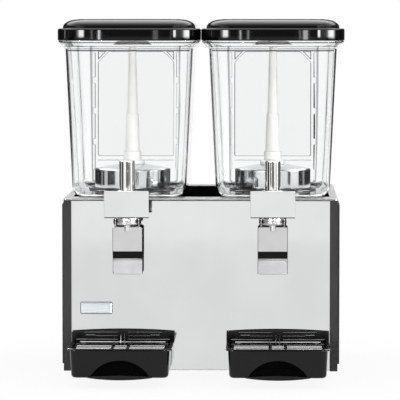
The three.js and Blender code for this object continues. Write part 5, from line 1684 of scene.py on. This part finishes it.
@dataclass
class DripGrid(UnitPiece):
    """The glossy grate that lies in the tray: slots in rows, two windows behind, and a spine."""

    width: float = 143.6
    depth: float = 110.2
    middle: float = -67.2
    top: float = -221.0
    thick: float = 3.0
    corner: float = 7.8
    border: float = 6.0
    spine: float = 30.0
    slot_rows: int = 5
    slot_width: float = 5.0
    slot_pitch: float = 10.0
    slot_front: float = 9.0
    slot_corner: float = 2.4
    short_rows: int = 3
    short_length: float = 10.0
    window_depth: float = 24.0
    window_margin: float = 8.0
    bar_radius: float = 1.2
    rear_bar_radius: float = 1.5
    middle_bar_half: float = 9.0
    tab_half_pitch: float = 2.8
    tab_height: float = 13.0
    leg_foot: float = -262.3
    leg_radius: float = 4.0
    leg_inset: Pair = (12.0, 6.0)

    @property
    def x(self) -> float:
        """The x of the tray's middle, in metres."""
        return self.side.tray_x

    @property
    def front(self) -> float:
        """The y of the front edge."""
        return self.middle - self.depth / 2

    @property
    def slot_length(self) -> float:
        """The length of a slot beside the spine."""
        return (self.width - self.spine) / 2 - self.border

    def opening(self, x: float, y: float, width: float, depth: float) -> Obj:
        """A cutter for an opening with round corners, for its middle's x and its front edge's y."""
        outline = rounded(width, depth, min(self.slot_corner, depth / 2.05), 6, (x, y + depth / 2))
        return prism("opening", outline, Axis.Z, self.top - 8, self.top + 4)

    def openings(self) -> list[Obj]:
        """The cutters for the slots and the windows.

        Returns:
            One cutter for each opening.
        """
        made = []
        slots = [self.front + self.slot_front + row * self.slot_pitch for row in range(self.slot_rows)]
        rear = self.middle + self.depth / 2 - self.window_margin - self.window_depth
        for sign in (-1, 1):
            x = sign * (self.spine / 2 + self.slot_length / 2)
            made += [self.opening(x, y, self.slot_length, self.slot_width) for y in slots]
            made += [
                self.opening(sign * self.spine / 4, y, self.short_length, self.slot_width)
                for y in slots[:self.short_rows]]
            made.append(self.opening(x, rear, self.slot_length, self.window_depth))
        return made

    def bars(self, rear: float) -> Obj:
        """The half-round bars that stand on the grate.

        Args:
            rear: The y of the last bar, along the rear edge.

        Returns:
            The bars as one object.
        """
        near, far = self.spine / 2 - 1, self.spine / 2 + self.slot_length + 1
        spans = ((near, far), (-far, -near), (-self.middle_bar_half, self.middle_bar_half))
        rows = [self.front + 6.9, *(self.front + self.slot_front + 7.5 + row * self.slot_pitch for row in (1, 3))]
        made = [
            prism("bar", arc((y, self.top - 0.5), self.bar_radius, 20, 160, 8), Axis.X, start, end)
            for y in rows for start, end in spans]
        made.append(prism(
            "bar", arc((rear, self.top - 0.6), self.rear_bar_radius, 20, 160, 8), Axis.X,
            self.border - self.width / 2, self.width / 2 - self.border))
        return gathered(*made)

    def build(self) -> None:
        """Makes one grid."""
        top, low, foot, r = self.top, self.top - self.thick, self.leg_foot, self.leg_radius
        grid = stacked(
            self.node("drip_grid_moulding"), (self.width, self.depth), self.corner, self.middle,
            [(0.5, low), (0, low + 0.5), (0, top - 0.8), (0.8, top)])
        cut(grid, gathered(*self.openings()))
        rear, tall = self.middle + self.depth / 2 - self.window_margin / 2, self.tab_height
        joined(grid, self.bars(rear))
        tab = [(rear + 2, top - 1), (rear - tall, top - 1), (rear + 1, top + tall), (rear + 2, top + tall)]
        pitch = self.tab_half_pitch
        joined(grid, *(prism("tab", tab, Axis.X, x - 0.8, x + 0.8) for x in (-pitch, pitch)))
        places = [
            (u * (self.width / 2 - self.leg_inset[0]), self.middle + v * (self.depth / 2 - self.leg_inset[1]))
            for u in (-1, 1) for v in (-1, 1)]
        joined(grid, *(
            turned("leg", [(2, foot), (2.4, foot + 0.6), (r, low), (r, top - 1.5)], centre=place, steps=24)
            for place in places))
        bevelled(grid, 0.4, 2, 60)
        self.dress(grid, GRID_ABS, "grid", "black_moulding", "drip_grid")


# Studio

@dataclass
class Studio:
    """The pale floor, the soft lights and the camera at the photograph's place."""

    eye: Triple = (0.108, -4.920, 0.568)
    aim: Triple = (-0.0008, -0.140, 0.2775)
    lens: float = 279.2
    sensor: float = 36.0
    farthest: float = 50.0
    floor_radius: float = 3000.0
    floor_sink: float = 0.2
    floor_shade: str = "#f4f4f4"
    floor_roughness: float = 0.9
    floor_fade: Pair = (0.32, 0.62)
    floor_white: float = 0.9
    card_corners: tuple[Triple, Triple] = ((-80, -400, 0), (95, -398, 60))
    card_shade: str = "#6a6a6a"
    # The room's bands by the height or the depth of a direction: where each starts and where it is full
    flag_beside: Pair = (0.14, 0.22)
    flag_level: Pair = (0.4, 0.3)
    high_rise: Pair = (-0.026, -0.016)
    floor_fall: Pair = (-0.075, -0.085)
    upper_rise: Pair = (0.03, 0.05)
    back_fall: Pair = (0.13, 0.09)
    back_edge: float = 0.85
    ceiling_rise: Pair = (0.42, 0.56)
    ceiling_span: Pair = (-0.75, 0.5)
    wash_span: Pair = (0.4, -0.9)
    wash_least: float = 0.3
    mirrored: float = 0.5
    clear_layers: float = 3.5
    ceiling_front: float = 0.6
    ceiling_back: float = 4.6
    # Brightness round the room, by the angle in degrees: nought in front and positive on the right
    low_walls: Table = (
        (-180, 0.06), (-157, 0.03), (-109, 0.02), (-107, 0.4), (-103, 0.4), (-101, 0.02), (-95, 0.02),
        (-92, 0.75), (-82, 0.8), (-79, 0.02), (-55, 0.02), (-50, 1.1), (9, 1.1), (12, 0.35), (20, 0.35),
        (23, 1.1), (46, 1.1), (49, 0.04), (54, 0.04), (57, 1.1), (83, 1.1), (88, 0.03), (104, 0.03),
        (107, 0.5), (112, 0.4), (115, 0.03), (178, 0.03))
    high_walls: Table = (
        (-180, 0.06), (-115, 0.06), (-101, 0.3), (-98, 4.5), (-95, 4.5), (-92, 0.3), (-79, 0.3), (-77, 1.0),
        (-74, 0.3), (-47, 0.25), (-43, 3.0), (-36, 12.0), (-32, 45.0), (-19, 52.0), (-15, 20.0), (-12, 0.3),
        (11, 0.3), (14, 5.0), (16, 52.0), (22, 50.0), (25, 3.0), (34, 1.6), (46, 3.0), (52, 9.0), (58, 42.0),
        (66, 50.0), (76, 46.0), (82, 16.0), (88, 0.4), (115, 0.06))
    upper_walls: Table = (
        (-180, 0.12), (-130, 0.12), (-120, 0.3), (-60, 0.3), (-48, 1.6), (-22, 2.0), (-14, 0.3), (13, 0.3),
        (18, 1.8), (28, 1.6), (34, 0.3), (52, 0.4), (62, 2.0), (84, 1.8), (92, 0.3), (122, 0.3), (132, 0.12))
    # The lines in the lids' brims: where each shows, how wide and how bright
    strips: tuple[Triple, ...] = (
        (-170.0, 2.0, 8.0), (-158.0, 3.0, 45.0), (-67.0, 8.0, 5.0), (59.0, 2.4, 26.0), (71.5, 2.4, 15.0),
        (155.0, 2.4, 7.0), (164.0, 7.5, 22.0))
    strip_gap: float = 2.0
    strip_height: float = 0.1
    brim_y: float = -0.152
    brim_z: float = 0.51
    # Each lamp's name, place, aim, size and power: two over the trays, then the three softboxes
    tray_lamps: tuple[tuple[str, Triple, Triple, Pair, float], ...] = (
        ("tray_light_top", (0.0, -0.27, 1.3), (0.0, -0.27, 0.0), (1.6, 1.6), 170),
        ("tray_light_back", (0.0, 0.75, 0.85), (0.0, -0.2, 0.06), (2.0, 1.5), 90))
    softboxes: tuple[tuple[str, Triple, Triple, Pair, float], ...] = (
        ("key_softbox", (1.6, -2.2, 2.4), (0, 0, 0.3), (1.6, 1.6), 17),
        ("fill_softbox", (-2.2, -1.8, 1.4), (0, 0, 0.3), (1.2, 1.6), 5),
        ("top_softbox", (0.0, 0.4, 2.8), (0, 0, 0.3), (1.8, 1.4), 13))

    def placed(self, name: str, data: bpy.types.ID, place: Triple, aim: Triple) -> Obj:
        """Puts a camera or a lamp at its place, facing a point.

        Args:
            name: The object's name.
            data: The camera's or the lamp's data.
            place: Where it stands or hangs.
            aim: The point that it faces.

        Returns:
            The new object.
        """
        obj = bpy.data.objects.new(name, data)
        bpy.context.scene.collection.objects.link(obj)
        obj.location = place
        obj.rotation_euler = (Vector(aim) - Vector(place)).to_track_quat("-Z", "Y").to_euler()
        return obj

    def camera(self) -> None:
        """Sets up the camera."""
        data = bpy.data.cameras.new("camera")
        data.lens, data.sensor_width, data.clip_end = self.lens, self.sensor, self.farthest
        bpy.context.scene.camera = self.placed("camera", data, self.eye, self.aim)

    def softbox(self, name: str, place: Triple, aim: Triple, size: Pair, power: float) -> Obj:
        """Hangs a rectangular lamp.

        Args:
            name: The lamp's name.
            place: Where it hangs.
            aim: The point that it faces.
            size: Its width and height in metres.
            power: Its power in watts.

        Returns:
            The lamp.
        """
        data = bpy.data.lights.new(name, "AREA")
        data.shape, data.size, data.size_y, data.energy = "RECTANGLE", size[0], size[1], power
        lamp = self.placed(name, data, place, aim)
        lamp.visible_camera = lamp.visible_transmission = False
        return lamp

    def stage_material(self, name: str) -> tuple[bpy.types.Material, Tree, Socket]:
        """Makes a material for the stage.

        Args:
            name: The material's name.

        Returns:
            The material, its node tree and the socket that takes its surface.
        """
        material = bpy.data.materials.new(name)
        material.use_nodes = True
        tree = material.node_tree
        return material, tree, tree.nodes["Material Output"].inputs["Surface"]

    def flag(self, side: Side) -> None:
        """Stands a small dark card before a sleeve, that only shows as the dark band up its middle.

        Args:
            side: The unit that it stands before.
        """
        card = block(side.node("flag_card"), *self.card_corners)
        card.data.transform(Matrix.Translation(local(side.unit_x)))
        material, tree, surface = self.stage_material("card_dark")
        dark = add_node(tree, "ShaderNodeEmission", {"Color": linear(self.card_shade), "Strength": 1.0})
        tree.links.new(dark.outputs["Emission"], surface)
        card.data.materials.append(material)
        card.visible_camera = card.visible_transmission = card.visible_shadow = card.visible_diffuse = False

    def strip_light(self, number: int, x: float, width: float, level: float) -> None:
        """Stands a narrow upright lamp in front, that shows as a thin line in the lids' brims.

        Args:
            number: The lamp's number.
            x: Where the line shows on the brims, in millimetres from the machine's middle.
            width: How wide it shows there.
            level: The lamp's brightness.
        """
        reach = (self.brim_y - self.eye[1] + self.strip_gap) / (self.brim_y - self.eye[1])
        across, size = self.eye[0] + (x * MM - self.eye[0]) * reach, (width * MM * reach, self.strip_height)
        lamp = self.softbox(
            f"strip_light_{number}", (across, self.brim_y - self.strip_gap, self.brim_z),
            (across, self.brim_y, self.brim_z), size, level * math.pi * size[0] * size[1])
        lamp.visible_diffuse = False

    def tray_light(self) -> None:
        """Hangs the lamps that show as bright lines along the trays' bars and rims."""
        trays = bpy.data.collections.new("tray_light_receivers")
        for side in Side:
            for name in ("drip_grid_moulding", "drip_tray_moulding"):
                trays.objects.link(bpy.data.objects[side.node(name)])
        for row in self.tray_lamps:
            lamp = self.softbox(*row)
            lamp.visible_diffuse = False
            lamp.light_linking.receiver_collection = lamp.light_linking.blocker_collection = trays

    def round_table(self, tree: Tree, share: Socket, stops: Table) -> Socket:
        """Brightness by direction round the horizon.

        Args:
            tree: The world's node tree.
            share: The direction, from 0 behind the machine over the left to 1.
            stops: Angles in degrees with the brightness there.

        Returns:
            The brightness.
        """
        peak = max(value for _, value in stops)
        ramp = add_node(tree, "ShaderNodeValToRGB", {"Fac": share})
        points = ramp.color_ramp.elements
        points.remove(points[0])
        for i, (angle, value) in enumerate(stops):
            point = points[0] if i == 0 else points.new((angle + 180) / 360)
            point.position = (angle + 180) / 360
            point.color = (value / peak, value / peak, value / peak, 1.0)
        inputs = {"Scale": peak, 0: ramp.outputs["Color"]}
        return add_node(tree, "ShaderNodeVectorMath", inputs, operation="SCALE").outputs["Vector"]

    def world(self) -> None:
        """White where the camera or clear plastic sees it, and a studio of walls and flags in reflections."""
        world = bpy.data.worlds.new("studio")
        bpy.context.scene.world = world
        world.use_nodes = True
        tree = world.node_tree
        tree.nodes.clear()
        place = add_node(tree, "ShaderNodeTexCoord").outputs["Generated"]
        x, y, z = add_node(tree, "ShaderNodeSeparateXYZ", {0: place}).outputs
        # Dark flags stand beside the machine, level with it, and keep its clear walls from looking grey
        beside = mapped(tree, reckoned(tree, "ABSOLUTE", x), *self.flag_beside)
        level = mapped(tree, reckoned(tree, "ABSOLUTE", z), *self.flag_level)
        unflagged = reckoned(tree, "SUBTRACT", 1.0, reckoned(tree, "MULTIPLY", beside, level))
        onward = reckoned(tree, "GREATER_THAN", y, self.back_edge)
        # Reflections: the walls in three bands, a white floor, a white opening behind, and the ceiling
        azimuth = reckoned(tree, "ARCTAN2", x, reckoned(tree, "MULTIPLY", y, -1.0))
        share = mapped(tree, azimuth, -math.pi, math.pi)
        low, high, upper = (
            self.round_table(tree, share, stops) for stops in (self.low_walls, self.high_walls, self.upper_walls))
        room = mixed(tree, mapped(tree, z, *self.high_rise), low, high)
        room = mixed(tree, mapped(tree, z, *self.floor_fall), room, WHITE)
        room = mixed(tree, mapped(tree, z, *self.upper_rise), room, upper)
        open_back = reckoned(tree, "MULTIPLY", unflagged, onward)
        rear = reckoned(tree, "MULTIPLY", mapped(tree, z, *self.back_fall), open_back)
        room = mixed(tree, rear, room, WHITE)
        ceiling = mapped(tree, y, *self.ceiling_span, self.ceiling_front, self.ceiling_back)
        room = mixed(tree, mapped(tree, z, *self.ceiling_rise), room, ceiling)
        # Diffuse light, brighter from the front
        path = add_node(tree, "ShaderNodeLightPath").outputs
        wash = mapped(tree, y, *self.wash_span, self.wash_least)
        room = mixed(tree, path["Is Diffuse Ray"], room, wash)
        # What the camera sees, or sees through clear plastic, is white
        direct = reckoned(tree, "LESS_THAN", path["Glossy Depth"], self.mirrored)
        shallow = reckoned(tree, "LESS_THAN", path["Transmission Depth"], self.clear_layers)
        clear = reckoned(tree, "MAXIMUM", reckoned(tree, "MAXIMUM", direct, shallow), onward)
        through = reckoned(
            tree, "MULTIPLY", reckoned(tree, "MULTIPLY", clear, unflagged), path["Is Transmission Ray"])
        seen = reckoned(tree, "MAXIMUM", through, path["Is Camera Ray"])
        back = add_node(tree, "ShaderNodeBackground", {"Color": mixed(tree, seen, room, WHITE)})
        add_node(tree, "ShaderNodeOutputWorld", {"Surface": back.outputs["Background"]})

    def floor(self) -> None:
        """A pale round floor that keeps the machine's shadow and fades to the white of the backdrop."""
        floor = turned("floor_sheet", [(self.floor_radius, 0), (self.floor_radius, -20)], steps=96)
        floor.data.transform(Matrix.Translation((0, 0, -self.floor_sink * MM)))
        material, tree, surface = self.stage_material("paper_sweep_white")
        shader = tree.nodes["Principled BSDF"]
        shader.inputs["Base Color"].default_value = linear(self.floor_shade)
        shader.inputs["Roughness"].default_value = self.floor_roughness
        place = add_node(tree, "ShaderNodeTexCoord").outputs["Object"]
        span = add_node(tree, "ShaderNodeVectorMath", {0: place}, operation="LENGTH").outputs["Value"]
        fade = mapped(tree, span, *self.floor_fade, self.floor_white, interpolation_type="SMOOTHSTEP")
        path = add_node(tree, "ShaderNodeLightPath").outputs
        seen = reckoned(tree, "MAXIMUM", path["Is Camera Ray"], path["Is Transmission Ray"])
        share = reckoned(tree, "MULTIPLY", reckoned(tree, "MAXIMUM", seen, path["Is Glossy Ray"]), fade)
        white = add_node(tree, "ShaderNodeEmission")
        faded = add_node(
            tree, "ShaderNodeMixShader", {0: share, 1: shader.outputs["BSDF"], 2: white.outputs["Emission"]})
        tree.links.new(faded.outputs["Shader"], surface)
        floor.data.materials.append(material)

    def build(self) -> None:
        """Sets the stage."""
        bpy.context.scene.view_settings.view_transform = "Standard"
        self.camera()
        self.world()
        self.floor()
        for side in Side:
            self.flag(side)
        for number, strip in enumerate(self.strips):
            self.strip_light(number, *strip)
        self.tray_light()
        for row in self.softboxes:
            self.softbox(*row)


def main() -> None:
    """Builds the sub-assemblies in order."""
    logging.basicConfig(level=logging.INFO, format="%(name)s: %(message)s")
    Cabinet().build()
    Machinery().build()
    for side in Side:
        for part in (Lid, Tank, CoolingDome, Tap, DripTray, DripGrid):
            part(side).build()
    Studio().build()


if __name__ == "__main__":
    main()
